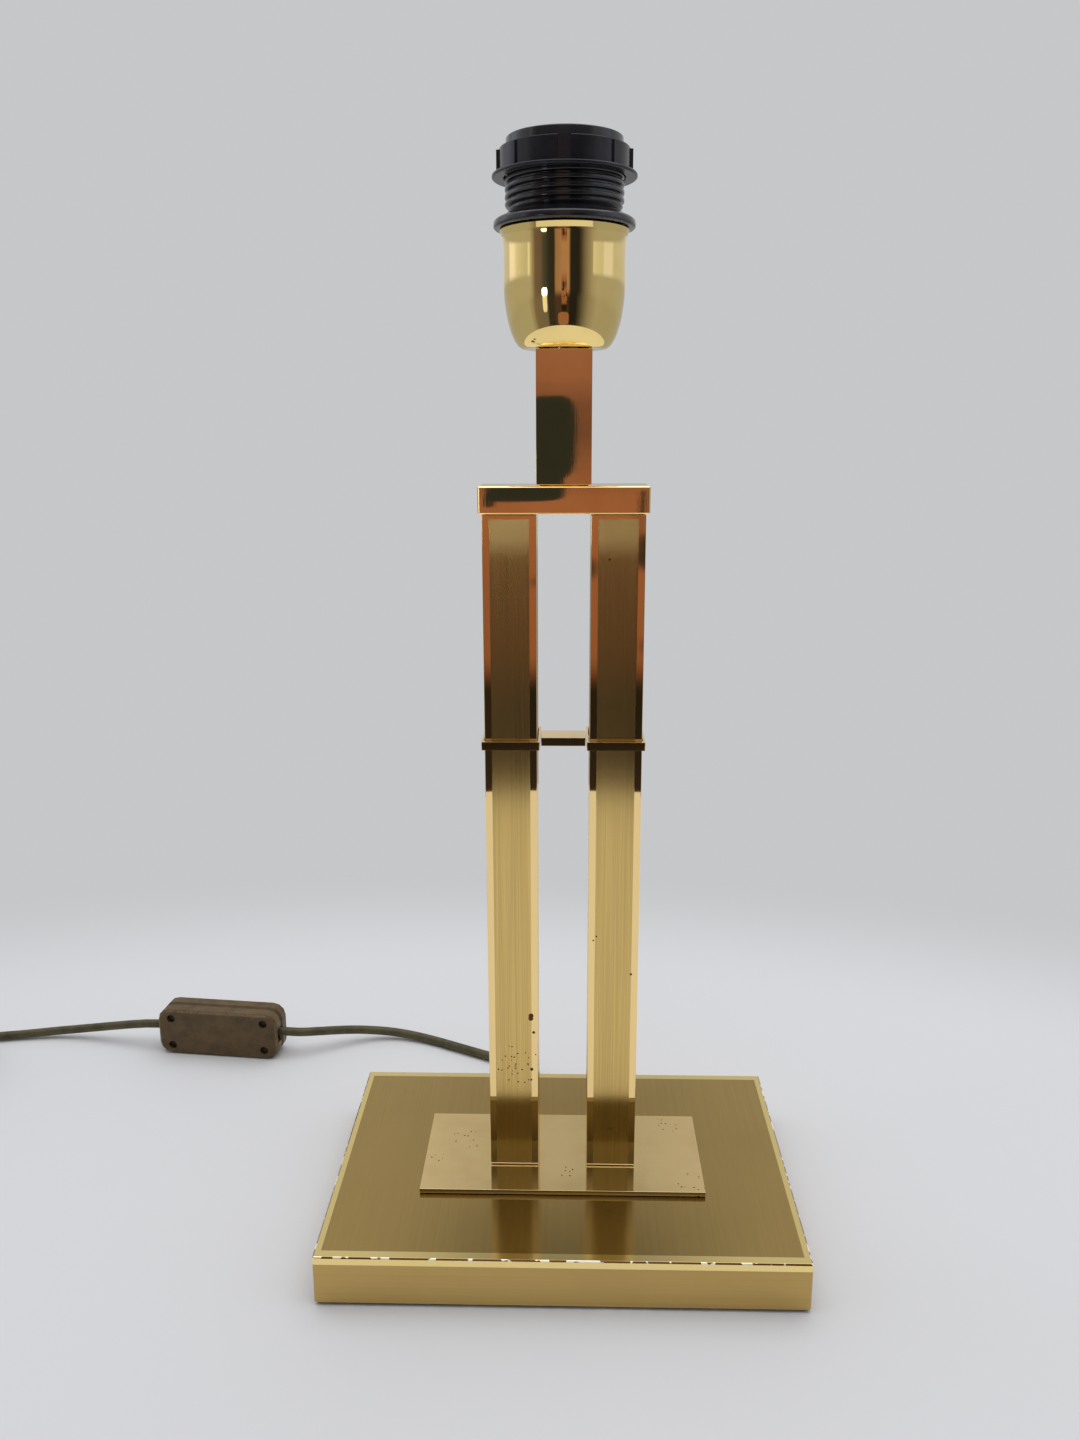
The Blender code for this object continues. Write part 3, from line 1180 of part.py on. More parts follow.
def make_switch(parent):
    """The case lies with its two halves along Y, so its long edge stands on the floor."""
    place = empty("switch_place", (SWITCH_X, SWITCH_Y, 0), SWITCH_TURN)
    place.parent = parent
    upright = Matrix.Translation((0, 0, SWITCH_HEIGHT / 2)) @ Matrix.Rotation(math.pi / 2, 4, "X")
    split = GAP / 2
    bore = CORD_DIAMETER / 2 + GAP
    for name, near in (("switch_case_near", True), ("switch_case_far", False)):
        face = SWITCH_HALF if near else -SWITCH_HALF
        joint = split if near else -split
        shape = bmesh.new()
        add_prism(shape, switch_outline(0), min(face, joint), max(face, joint), upright)
        case = finish_mesh(name, shape, brown_plastic(name + "_plastic"), place, False)
        bevel_edges(case, SWITCH_EDGE_ROUND)
        hollow = bmesh.new()
        deep = face - math.copysign(SWITCH_WALL, face)
        beyond = -math.copysign(CUT_OVERRUN, face)
        add_prism(hollow, rectangle(2 * (SWITCH_SCREW_X - SWITCH_SCREW_HOLE - SWITCH_WALL),
                                    SWITCH_HEIGHT - 2 * SWITCH_WALL - 2 * SWITCH_EDGE_ROUND),
                  min(deep, beyond), max(deep, beyond), upright)
        combine(case, finish_mesh(name + "_hollow", hollow, None, place, False))
    near_case = bpy.data.objects["switch_case_near"]
    far_case = bpy.data.objects["switch_case_far"]

    channel = turned("switch_cord_channel",
                     rod_profile(bore, -SWITCH_LENGTH / 2 - CUT_OVERRUN, SWITCH_LENGTH / 2 + CUT_OVERRUN),
                     None, place, SMALL_SEGMENTS,
                     Matrix.Translation((0, 0, SWITCH_HEIGHT / 2)) @ Matrix.Rotation(math.pi / 2, 4, "Y"))
    mouths = bmesh.new()
    for side in (-1, 1):
        mouth = moved(rectangle(SWITCH_MOUTH_DEPTH + CUT_OVERRUN, SWITCH_MOUTH_HEIGHT),
                      side * (SWITCH_LENGTH - SWITCH_MOUTH_DEPTH + CUT_OVERRUN) / 2, 0)
        add_prism(mouths, mouth, -CUT_OVERRUN, SWITCH_MOUTH_REACH, upright)
    sinks = bmesh.new()
    taps = bmesh.new()
    head_face = SWITCH_HALF - SWITCH_SCREW_SINK
    head_back = head_face - SWITCH_HEAD_HEIGHT
    for number, (x, z) in enumerate(switch_screw_places(), 1):
        circle = moved(polygon(SWITCH_SCREW_HOLE, SMALL_SEGMENTS), x, z)
        add_prism(sinks, circle, head_back - GAP, SWITCH_HALF + CUT_OVERRUN, upright)
        shank = moved(polygon(SWITCH_SCREW_RADIUS + GAP, SMALL_SEGMENTS // 2), x, z)
        add_prism(taps, shank, SWITCH_SCREW_END - SWITCH_HALF - GAP, head_back, upright)
        placed = upright @ Matrix.Translation((x, z, head_face)) @ Matrix.Rotation(math.pi, 4, "X")
        screw("switch_screw_%d" % number, SWITCH_SCREW_HEAD, SWITCH_HEAD_HEIGHT, SWITCH_SCREW_RADIUS,
              head_face + SWITCH_HALF - SWITCH_SCREW_END, placed, place)
    sink_cutter = finish_mesh("switch_screw_sinks", sinks, None, place, False)
    tap_cutter = finish_mesh("switch_screw_taps", taps, None, place, False)
    combine(near_case, channel)
    combine(near_case, finish_mesh("switch_cord_mouths", mouths, None, place, False))
    combine(near_case, sink_cutter)
    combine(near_case, tap_cutter)
    combine(far_case, channel)
    combine(far_case, tap_cutter)

    make_rocker(far_case, place)

    clip_back = SWITCH_HALF - SWITCH_WALL - GAP
    for side, label in ((-1, "left"), (1, "right")):
        clip = bmesh.new()
        add_prism(clip, moved(rectangle(TERMINAL_CLIP_LENGTH, TERMINAL_CLIP_HEIGHT),
                              side * TERMINAL_CLIP_SPACING / 2, 0),
                  clip_back - TERMINAL_CLIP_WIDTH, clip_back, upright)
        name = "switch_terminal_" + label
        finish_mesh(name, clip, polished_brass(name + "_brass"), place, False)


def make_rocker(far_case, place):
    """The rocker in the far face, with its origin on its pivot, pressed in at one end."""
    window = bmesh.new()
    upright = Matrix.Translation((0, 0, SWITCH_HEIGHT / 2)) @ Matrix.Rotation(math.pi / 2, 4, "X")
    room = 2 * ROCKER_CLEARANCE
    add_prism(window, rectangle(ROCKER_LENGTH + room, ROCKER_WIDTH + room), -SWITCH_HALF - CUT_OVERRUN,
              -SWITCH_HALF + SWITCH_WALL + CUT_OVERRUN, upright)
    combine(far_case, finish_mesh("switch_window", window, None, place, False))
    pivot = empty("rocker_axis", (0, SWITCH_HALF - ROCKER_PIVOT_INSET, SWITCH_HEIGHT / 2))
    pivot.parent = place
    half = ROCKER_LENGTH / 2
    root = ROCKER_PIVOT_INSET - SWITCH_WALL
    outline = [
        (-half, root),
        (0, -ROCKER_KEEL),
        (half, root),
        (ROCKER_CORNER_X, ROCKER_CORNER_Y),
        (0, ROCKER_CREST),
        (-ROCKER_CORNER_X, ROCKER_CORNER_Y),
    ]
    shape = bmesh.new()
    add_prism(shape, outline, -ROCKER_WIDTH / 2, ROCKER_WIDTH / 2,
              Matrix.Rotation(ROCKER_SWING / 2, 4, "Z"))
    finish_mesh("switch_rocker", shape, brown_plastic("rocker_plastic"), pivot, False)


def main():
    clear_scene()
    lamp = empty("lamp")
    make_base(lamp)
    make_cord_inlet(lamp)
    make_stem(lamp)
    make_top_bar(lamp)
    make_cup(lamp)
    make_contacts(lamp)
    make_sleeve(lamp)
    make_shade_ring(lamp)
    make_inner_wiring(lamp)
    make_switch(lamp)
    make_cords(lamp)
    make_coil_tie(lamp)
    make_plug(lamp)


main()
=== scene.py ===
"""Looks of a brass table lamp: two square columns on a flat base, a lamp holder and its lead.

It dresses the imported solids. Lengths are in metres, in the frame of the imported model, and X runs to
the viewer's right, Y away from the viewer and Z up.
"""
import json
import math

import bmesh
import bpy
from mathutils import Matrix, Vector

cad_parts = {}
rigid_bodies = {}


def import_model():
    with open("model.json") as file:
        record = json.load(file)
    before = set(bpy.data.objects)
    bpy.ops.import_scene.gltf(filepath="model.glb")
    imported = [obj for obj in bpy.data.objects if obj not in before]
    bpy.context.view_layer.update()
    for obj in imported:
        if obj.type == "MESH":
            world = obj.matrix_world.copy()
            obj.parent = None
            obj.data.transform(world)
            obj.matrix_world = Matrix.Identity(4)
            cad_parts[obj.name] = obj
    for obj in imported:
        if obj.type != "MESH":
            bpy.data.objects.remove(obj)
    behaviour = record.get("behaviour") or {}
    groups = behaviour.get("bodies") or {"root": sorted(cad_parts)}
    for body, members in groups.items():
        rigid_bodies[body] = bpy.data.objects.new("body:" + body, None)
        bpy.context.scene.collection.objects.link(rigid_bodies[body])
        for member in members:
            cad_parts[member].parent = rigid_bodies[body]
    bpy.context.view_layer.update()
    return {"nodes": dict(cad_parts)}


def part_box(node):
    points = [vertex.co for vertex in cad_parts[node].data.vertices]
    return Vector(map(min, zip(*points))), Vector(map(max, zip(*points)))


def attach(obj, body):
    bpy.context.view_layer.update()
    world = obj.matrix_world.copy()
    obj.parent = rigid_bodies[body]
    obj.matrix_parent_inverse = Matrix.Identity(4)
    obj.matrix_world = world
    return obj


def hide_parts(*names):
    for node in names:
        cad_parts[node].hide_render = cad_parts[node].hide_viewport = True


for leftover in list(bpy.data.objects):
    bpy.data.objects.remove(leftover)
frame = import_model()
NODES = frame["nodes"]

MM = 0.001
UP = (0.0, 0.0, 1.0)
RIGHTWARDS = (1.0, 0.0, 0.0)

# The photograph's width in pixels, and the camera that fits it
IMAGE_WIDTH = 1080
FOCAL_PIXELS = 1154.2
SENSOR_WIDTH = 36.0
CAMERA_PLACE = Vector((0.0021, -0.4131, 0.3040))
CAMERA_YAW = math.radians(-1.491)
CAMERA_PITCH = math.radians(13.849)
CAMERA_ROLL = math.radians(-0.169)
CLIP_NEAR, CLIP_FAR = 0.01, 50.0

# The lead's parts, as the source lays them
CORD_DIAMETER = 4.3 * MM
GAP = 0.3 * MM
CORD_EXIT = Vector((-14.0 * MM, 81.3 * MM, 8.0 * MM))
CORD_POINT_SPACING = 9.5 * MM
CORD_REFINEMENT = 4
SWITCH_CENTRE = Vector((-173.4 * MM, 115.6 * MM, 12.0 * MM))
SWITCH_TURN = math.radians(-5.8)
SWITCH_LENGTH = 62.0 * MM
SWITCH_HALF_HEIGHT = 12.0 * MM
SWITCH_HALF_DEPTH = 7.6 * MM
SWITCH_CORD_ENTRY = 11.0 * MM
LAMP_SIDE_ROUTE = (
    (-14.8, 91.0, 6.8), (-18.8, 96.8, 4.4), (-24.6, 101.0, 2.9), (-31.0, 104.3, 2.3),
    (-38.0, 107.6, 2.2), (-55.5, 116.5, 2.2), (-70.7, 123.8, 2.3), (-85.7, 127.8, 3.2),
    (-98.5, 126.8, 5.0), (-110.4, 122.8, 7.4), (-121.5, 117.4, 9.6), (-131.5, 113.2, 11.2),
    (-137.5, 112.1, 11.8))
PLUG_SIDE_ROUTE = (
    (-209.3, 119.2, 11.9), (-219.5, 120.4, 10.8), (-232.4, 122.6, 8.4), (-251.0, 125.4, 5.0),
    (-265.9, 125.6, 3.3), (-279.0, 124.0, 2.5), (-292.5, 121.6, 2.4), (-304.0, 119.2, 2.9))
COIL_CENTRE_X = -320.0 * MM
COIL_TOP_Y = 118.0 * MM
COIL_MEAN_RADIUS = 24.0 * MM
COIL_STEP = 4.9 * MM
COIL_LAYERS = 4
COIL_TURNS = 9.25
COIL_POINTS_PER_TURN = 24
COIL_BOTTOM_HEIGHT = 3.25 * MM
TAIL_X = -357.0 * MM
TAIL_SHARES = (0.3, 0.55, 0.8)
PLUG_RELIEF_END = Vector((TAIL_X, 36.3 * MM, 6.8 * MM))

# Colours, as linear red, green and blue
POLISHED_BRASS = (0.84, 0.63, 0.30)
CUP_BRASS = (0.86, 0.665, 0.265)
BRUSHED_BASE = (0.435, 0.30, 0.106)
BASE_BORDER = (0.83, 0.655, 0.275)
BRUSHED_COLUMN = (0.585, 0.415, 0.148)
COLUMN_STRIP = (0.83, 0.62, 0.285)
# Painted light on the columns' upper ends
COLUMN_TOP_PAINTED_LIGHT = (0.98, 0.87, 0.36)
# Painted highlight line at the columns' feet
FOOT_PAINTED_HIGHLIGHT = (0.95, 0.72, 0.38)
CONTACT_BRASS = (0.80, 0.62, 0.33)
# Dark tarnish of the pits; also the painted shade of the base's rounded front edge
TARNISH_AND_CREASE_SHADE = (0.15, 0.075, 0.028)
# Painted glints on the base's rounded front edge
CREASE_PAINTED_GLINT = (0.97, 0.88, 0.66)
IRON = (0.12, 0.115, 0.11)
ZINC = (0.60, 0.60, 0.58)
BLACKENED_STEEL = (0.035, 0.032, 0.03)
NICKEL = (0.72, 0.70, 0.66)
BLACK = (0.012, 0.0125, 0.016)
INSULATOR_BLACK = (0.02, 0.02, 0.022)
PLASTIC_BROWN = (0.07, 0.045, 0.026)
CORD_BROWN = (0.078, 0.067, 0.029)
LEAD_BLUE = (0.02, 0.09, 0.35)
LEAD_BROWN = (0.12, 0.05, 0.02)
SWITCH_BROWN = (0.092, 0.055, 0.017)
SWITCH_EDGE_TONE = (0.19, 0.14, 0.058)
FELT = (0.03, 0.055, 0.03)
FELT_DEEP = (0.018, 0.036, 0.02)
FELT_FIBRES = ((0.04, 0.07, 0.04), (0.06, 0.09, 0.055))
BACKDROP = (0.565, 0.572, 0.585)
FLOOR = (0.655, 0.662, 0.672)
WHITE_PAPER = (0.85, 0.85, 0.85)

# Crowds of pits and single stains on the brass, as (x, y, z, radius) in millimetres
PLATE_CROWDS = ((-50.0, -5.0, 22.0, 7.0), (2.0, -14.0, 22.0, 6.0), (50.0, -20.0, 22.0, 11.0),
                (44.0, 19.0, 22.0, 10.0), (-38.0, 8.0, 22.0, 12.0))
LEFT_COLUMN_CROWDS = ((-17.0, -9.5, 65.0, 15.0), (-13.0, -9.5, 63.0, 13.0))
LEFT_COLUMN_STAINS = ((-12.2, -9.5, 87.3, 1.5), (-12.3, -9.5, 86.1, 1.5),
                      (-11.2, -9.5, 80.2, 0.9), (-12.0, -9.5, 64.4, 1.0))
RIGHT_COLUMN_CROWDS = ((20.0, -9.5, 40.0, 5.0), (12.0, -9.5, 120.0, 3.0))
RIGHT_COLUMN_STAINS = ((25.9, -9.5, 105.0, 0.7), (16.0, -9.5, 262.0, 0.6))

# How the surfaces are made uneven. Pairs are the low and high value of a smooth step, and a face
# looks along an axis where that part of its normal is past the facing pair.
FACING = (0.6, 0.8)
PIT_CHANCE = (0.50, 0.52)
PIT_EDGE = (0.20, 0.30)
STAIN_EDGE = (0.35, 0.5)
PLATE_PIT_SIZE = 1.5 * MM
COLUMN_PIT_SIZE = 1.3 * MM
PIT_ROUGHNESS = 0.6
CLOUD_TINT = (1.0, 1.25, 1.8)
BORDER_SOFTNESS = 0.08 * MM
BRUSH_DEPTH = 0.002 * MM
PLASTIC_GRAIN = 0.25 * MM
FELT_DEPTH = 0.2 * MM
DULLEST = 0.95

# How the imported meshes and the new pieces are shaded, in degrees
FACET_ANGLE = 35.0
BEVEL_ANGLE = 30.0
CREASE_ANGLE = 38.0


class Graph:
    """A node tree in the making. Each helper adds nodes and returns what comes out of them."""

    def __init__(self, tree, coordinates):
        self.nodes, self.links = tree.nodes, tree.links
        self.coordinates = self.nodes.new("ShaderNodeTexCoord")
        self.place = self.coordinates.outputs[coordinates]

    def feed(self, socket, value):
        """Links a socket to another, or gives it a number, colour or vector."""
        if isinstance(value, bpy.types.NodeSocket):
            self.links.new(value, socket)
        elif isinstance(value, tuple) and len(value) == 3 and socket.type == "RGBA":
            socket.default_value = (*value, 1.0)
        else:
            socket.default_value = value

    def maths(self, operation, *values):
        """One step of arithmetic on numbers."""
        node = self.nodes.new("ShaderNodeMath")
        node.operation = operation
        for socket, value in zip(node.inputs, values):
            self.feed(socket, value)
        return node.outputs[0]

    def times(self, first, second):
        """The product of two numbers."""
        return self.maths("MULTIPLY", first, second)

    def without(self, share):
        """What a share from 0 to 1 leaves of 1."""
        return self.maths("SUBTRACT", 1.0, share)

    def either(self, share, first, second):
        """The first number where the share is 0, and the second where it is 1."""
        return self.maths("ADD", self.times(first, self.without(share)), self.times(second, share))

    def most(self, first, *others):
        """The greatest of several numbers."""
        for other in others:
            first = self.maths("MAXIMUM", first, other)
        return first

    def vector(self, operation, *values):
        """One step of arithmetic on vectors."""
        node = self.nodes.new("ShaderNodeVectorMath")
        node.operation = operation
        for socket, value in zip(node.inputs, values):
            self.feed(socket, value)
        return node.outputs["Value"] if operation in ("LENGTH", "DISTANCE") else node.outputs[0]

    def parts(self, vector):
        """The x, y and z of a vector."""
        node = self.nodes.new("ShaderNodeSeparateXYZ")
        self.links.new(vector, node.inputs[0])
        return node.outputs[0], node.outputs[1], node.outputs[2]

    def step(self, value, low, high):
        """0 below low, 1 above high and a smooth way between them."""
        node = self.nodes.new("ShaderNodeMapRange")
        node.interpolation_type = "SMOOTHSTEP"
        for name, number in (("Value", value), ("From Min", low), ("From Max", high)):
            self.feed(node.inputs[name], number)
        return node.outputs["Result"]

    def between(self, value, low, high):
        """A straight run from low to high for a value from 0 to 1."""
        return self.maths("MULTIPLY_ADD", value, high - low, low)

    def mix(self, kind, first_socket, share, first, second):
        """A Mix node of a kind; its sockets are counted, because every kind has its own A and B."""
        node = self.nodes.new("ShaderNodeMix")
        node.data_type = kind
        self.feed(node.inputs[0], share)
        self.feed(node.inputs[first_socket], first)
        self.feed(node.inputs[first_socket + 1], second)
        return node

    def blend(self, share, first, second):
        """The first colour where the share is 0, and the second where it is 1."""
        return self.mix("RGBA", 6, share, first, second).outputs[2]

    def blend_vector(self, share, first, second):
        """The same for vectors."""
        return self.mix("VECTOR", 4, share, first, second).outputs[1]

    def scaled(self, scale, shift=(0.0, 0.0, 0.0)):
        """The place on the surface, scaled by one number or by one for each direction."""
        node = self.nodes.new("ShaderNodeMapping")
        self.links.new(self.place, node.inputs["Vector"])
        node.inputs["Scale"].default_value = scale if isinstance(scale, tuple) else (scale,) * 3
        node.inputs["Location"].default_value = shift
        return node.outputs[0]

    def noise(self, scale, detail=3.0, roughness=0.6, shift=(0.0, 0.0, 0.0)):
        """Soft random patches from 0 to 1, smaller for a greater scale."""
        node = self.nodes.new("ShaderNodeTexNoise")
        self.links.new(self.scaled(scale, shift), node.inputs["Vector"])
        node.inputs["Scale"].default_value = 1.0
        node.inputs["Detail"].default_value = detail
        node.inputs["Roughness"].default_value = roughness
        return node.outputs["Fac"]

    def dots(self, scale):
        """The distance to the nearest of many scattered points, and that point's own number."""
        node = self.nodes.new("ShaderNodeTexVoronoi")
        self.links.new(self.scaled(scale), node.inputs["Vector"])
        node.inputs["Scale"].default_value = 1.0
        return node.outputs["Distance"], self.parts(node.outputs["Color"])[0]

    def bands(self, degrees, stops):
        """A colour that runs through (degrees, colour) stops."""
        def share(angle):
            return angle / 360.0 + 0.5

        node = self.nodes.new("ShaderNodeValToRGB")
        self.feed(node.inputs[0], self.maths("MULTIPLY_ADD", degrees, 1.0 / 360.0, 0.5))
        elements = node.color_ramp.elements
        elements.remove(elements[1])
        for number, (angle, colour) in enumerate(stops):
            element = elements[0] if number == 0 else elements.new(share(angle))
            element.position = share(angle)
            element.color = (*colour, 1.0)
        return node.outputs["Color"]

    def box(self, across, along, centre, half, soft):
        """1 inside a rounded box of two values and 0 outside it."""
        roundness = 4.0
        powers = []
        for value, middle, reach in zip((across, along), centre, half):
            off_middle = self.maths("ABSOLUTE", self.maths("SUBTRACT", value, middle))
            powers.append(self.maths("POWER", self.maths("DIVIDE", off_middle, reach), roundness))
        return self.without(self.step(self.maths("ADD", *powers), 1.0 - soft, 1.0 + soft))


class Paint(Graph):
    """A material in the making, with its shader."""

    def __init__(self, name, colour, roughness, metallic=0.0):
        self.material = bpy.data.materials.new(name)
        self.material.use_nodes = True
        super().__init__(self.material.node_tree, "Object")
        self.normal = self.coordinates.outputs["Normal"]
        self.shader = self.nodes["Principled BSDF"]
        self.set("Base Color", colour)
        self.set("Roughness", roughness)
        self.set("Metallic", metallic)

    def set(self, name, value):
        """Feeds one of the shader's own sockets."""
        self.feed(self.shader.inputs[name], value)

    def bump(self, height, distance, strength, normal=None):
        """Roughens the surface by a height from 0 to 1, times a distance."""
        node = self.nodes.new("ShaderNodeBump")
        self.links.new(height, node.inputs["Height"])
        if normal:
            self.links.new(normal, node.inputs["Normal"])
        node.inputs["Distance"].default_value = distance
        node.inputs["Strength"].default_value = strength
        self.set("Normal", node.outputs[0])


def vector(*numbers):
    """A point given in millimetres."""
    return Vector(numbers) * MM


def grey(level):
    """A colour without a tint."""
    return (level, level, level)


def shade(colour, factor):
    """The colour made darker or lighter."""
    return tuple(factor * part for part in colour)


def uneven(paint, share, colour, first, second):
    """The colour times the first factor where the share is 0, and the second where it is 1."""
    return paint.blend(share, shade(colour, first), shade(colour, second))


def nearness(paint, spot, core=0.35):
    """1 near a spot given as (x, y, z, radius) in millimetres, falling to 0 at its radius."""
    *place, radius = spot
    distance = paint.vector("DISTANCE", paint.place, vector(*place))
    return paint.without(paint.step(distance, core * radius * MM, radius * MM))


def pit_mask(paint, crowds, stains, size):
    """Small round pits, scattered where the crowds are, and single ragged stains."""
    cells, chance = paint.dots(1.0 / size)
    crowded = paint.most(*(nearness(paint, crowd) for crowd in crowds))
    chosen = paint.step(paint.times(chance, crowded), *PIT_CHANCE)
    pits = paint.times(chosen, paint.without(paint.step(cells, *PIT_EDGE)))
    ragged = paint.maths("ADD", paint.noise(2400.0, detail=2.0), 0.5)
    for stain in stains:
        blot = paint.times(nearness(paint, stain, core=0.2), ragged)
        pits = paint.most(pits, paint.step(blot, *STAIN_EDGE))
    return pits


def brass(name, colour, roughness, crowds=(), cloud=0.08):
    """Polished brass with faint clouding, hairline scratches and a few pits."""
    paint = Paint(name, colour, roughness, metallic=1.0)
    clouds = paint.noise(60.0)
    clouded = tuple(part * (1.0 - cloud * tint) for part, tint in zip(colour, CLOUD_TINT))
    tone = paint.blend(paint.step(clouds, 0.35, 0.75), colour, clouded)
    rough = paint.between(paint.step(clouds, 0.3, 0.8), roughness * 0.8, roughness * 1.6)
    if crowds:
        pits = pit_mask(paint, crowds, (), PLATE_PIT_SIZE)
        tone = paint.blend(pits, tone, TARNISH_AND_CREASE_SHADE)
        rough = paint.most(rough, paint.times(pits, PIT_ROUGHNESS))
    paint.set("Base Color", tone)
    paint.set("Roughness", rough)
    scratches = paint.noise((2600.0, 900.0, 120.0), detail=2.0)
    paint.bump(scratches, BRUSH_DEPTH, 0.5)
    return paint.material


def brushed_base(name):
    """Brushed brass of the base: the top brushed from front to back, the sides along their length,
    with a polished border round the top and along the sides, and a painted dark line with painted
    white glints along the rounded front edge."""
    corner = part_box("base_shell")[1]
    side_strip, front_strip, upper_strip = 2.6 * MM, 3.7 * MM, 3.0 * MM
    paint = Paint(name, BRUSHED_BASE, 0.2, metallic=1.0)
    x, y, z = paint.parts(paint.place)
    nx, ny, nz = (paint.maths("ABSOLUTE", part) for part in paint.parts(paint.normal))
    top, side = paint.step(nz, *FACING), paint.step(nx, *FACING)

    across, along, through = 2600.0, 9.0, 1.0
    on_top, on_front, on_side = (paint.noise(scale, roughness=0.65) for scale in (
        (across, along, through), (along, through, across), (through, along, across)))
    streaks = paint.either(top, paint.either(side, on_front, on_side), on_top)
    tone = uneven(paint, paint.step(streaks, 0.2, 0.8), BRUSHED_BASE, 0.93, 1.07)
    clouds = paint.times(paint.step(paint.noise(22.0), 0.4, 0.8), 0.2)
    tone = paint.blend(clouds, tone, shade(BRUSHED_BASE, 0.72))

    past_x = paint.maths("SUBTRACT", paint.maths("ABSOLUTE", x), corner.x - side_strip)
    past_y = paint.maths("SUBTRACT", paint.maths("ABSOLUTE", y), corner.y - front_strip)
    past_z = paint.maths("SUBTRACT", z, corner.z - upper_strip)
    round_top, round_sides = (paint.step(past, -BORDER_SOFTNESS, BORDER_SOFTNESS)
                              for past in (paint.most(past_x, past_y), past_z))
    border = paint.either(top, round_sides, round_top)
    tone = paint.blend(border, tone, BASE_BORDER)

    # Painted shade and highlights: the rounded edge is painted as a dark line, for the dark room it
    # mirrors, with painted white glints along it.
    crease = paint.times(paint.step(nz, 0.12, 0.25), paint.step(paint.most(nx, ny), 0.25, 0.4))
    glints = paint.step(paint.noise((300.0, 300.0, 60.0), detail=1.0, roughness=0.5), 0.56, 0.60)
    tone = paint.blend(crease, tone, paint.blend(glints, TARNISH_AND_CREASE_SHADE, CREASE_PAINTED_GLINT))
    paint.set("Base Color", tone)
    paint.set("Roughness", paint.either(border, paint.between(streaks, 0.085, 0.135), 0.09))
    paint.set("Anisotropic", 0.8)
    paint.set("Tangent", paint.blend_vector(top, UP, RIGHTWARDS))
    paint.bump(streaks, BRUSH_DEPTH, 0.25)
    return paint.material


def brushed_column(name, centre_x, crowds, stains):
    """Brushed brass of a column: brushed along its height, with a polished strip at each corner and
    round its top, painted light that brightens its upper end, and a painted highlight line at its
    foot, where the shading normal is tilted upwards."""
    low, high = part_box("column_left")
    half, strip = 9.5 * MM, 2.55 * MM
    polished_top, painted_light_span, foot_highlight_span = (1.45, 1.35), (17.0, 7.0), (0.50, 0.58)
    paint = Paint(name, BRUSHED_COLUMN, 0.4, metallic=1.0)
    x, y, z = paint.parts(paint.place)
    side = paint.step(paint.maths("ABSOLUTE", paint.parts(paint.normal)[0]), *FACING)
    across_front = paint.maths("ABSOLUTE", paint.maths("SUBTRACT", x, centre_x))
    across = paint.either(side, across_front, paint.maths("ABSOLUTE", y))
    border = paint.most(
        paint.step(across, half - strip - BORDER_SOFTNESS, half - strip + BORDER_SOFTNESS),
        paint.step(z, *(high.z - down * MM for down in polished_top)))
    # Painted light: the column's upper end is painted brighter.
    painted_top_light = paint.step(z, *(high.z - down * MM for down in painted_light_span))
    # Painted highlight: a bright line painted along the column's foot.
    foot = paint.without(paint.step(z, *(low.z + up * MM for up in foot_highlight_span)))

    streaks = paint.noise((2300.0, 2300.0, 9.0), roughness=0.65)
    tone = uneven(paint, paint.step(streaks, 0.25, 0.75), BRUSHED_COLUMN, 0.83, 1.13)
    pits = pit_mask(paint, crowds, stains, COLUMN_PIT_SIZE)
    for share, colour in ((painted_top_light, COLUMN_TOP_PAINTED_LIGHT), (border, COLUMN_STRIP), (foot, FOOT_PAINTED_HIGHLIGHT),
                          (pits, TARNISH_AND_CREASE_SHADE)):
        tone = paint.blend(share, tone, colour)
    paint.set("Base Color", tone)
    rough = paint.either(border, paint.between(streaks, 0.21, 0.25), 0.035)
    rough = paint.most(rough, paint.times(foot, 0.3), paint.times(pits, PIT_ROUGHNESS))
    paint.set("Roughness", rough)
    paint.set("Anisotropic", 1.0)
    paint.set("Tangent", paint.vector("CROSS_PRODUCT", paint.normal, UP))
    upwards = paint.vector("NORMALIZE", paint.vector("ADD", paint.normal, UP))
    # At the foot the shading normal is tilted upwards, so that the painted highlight line catches the
    # light.
    paint.bump(paint.times(streaks, paint.without(border)), BRUSH_DEPTH, 0.25,
               paint.blend_vector(foot, paint.normal, upwards))
    return paint.material


def plastic(name, colour, roughness, lighter=1.5, bump=0.02 * MM, gloss=0.5):
    """Moulded plastic with a fine grain, uneven gloss and a little dust."""
    paint = Paint(name, colour, roughness)
    paint.set("Specular IOR Level", gloss)
    patches = paint.noise(90.0)
    paint.set("Base Color", uneven(paint, paint.step(patches, 0.35, 0.8), colour, 1.0, lighter))
    paint.set("Roughness", paint.between(patches, roughness * 0.75, min(DULLEST, roughness * 1.35)))
    paint.bump(paint.noise(1.0 / PLASTIC_GRAIN), bump, 0.6)
    return paint.material


def metal(name, colour, roughness, grain=0.4 * MM):
    """Plain turned or pressed metal with fine marks and slight staining."""
    paint = Paint(name, colour, roughness, metallic=1.0)
    marks = paint.noise((1.0 / grain, 1.0 / grain, 0.25 / grain))
    stain = paint.noise(140.0)
    paint.set("Base Color", uneven(paint, paint.step(stain, 0.35, 0.8), colour, 1.0, 0.7))
    paint.set("Roughness", paint.between(marks, roughness * 0.7, min(DULLEST, roughness * 1.4)))
    paint.bump(marks, 0.01 * MM, 0.5)
    return paint.material


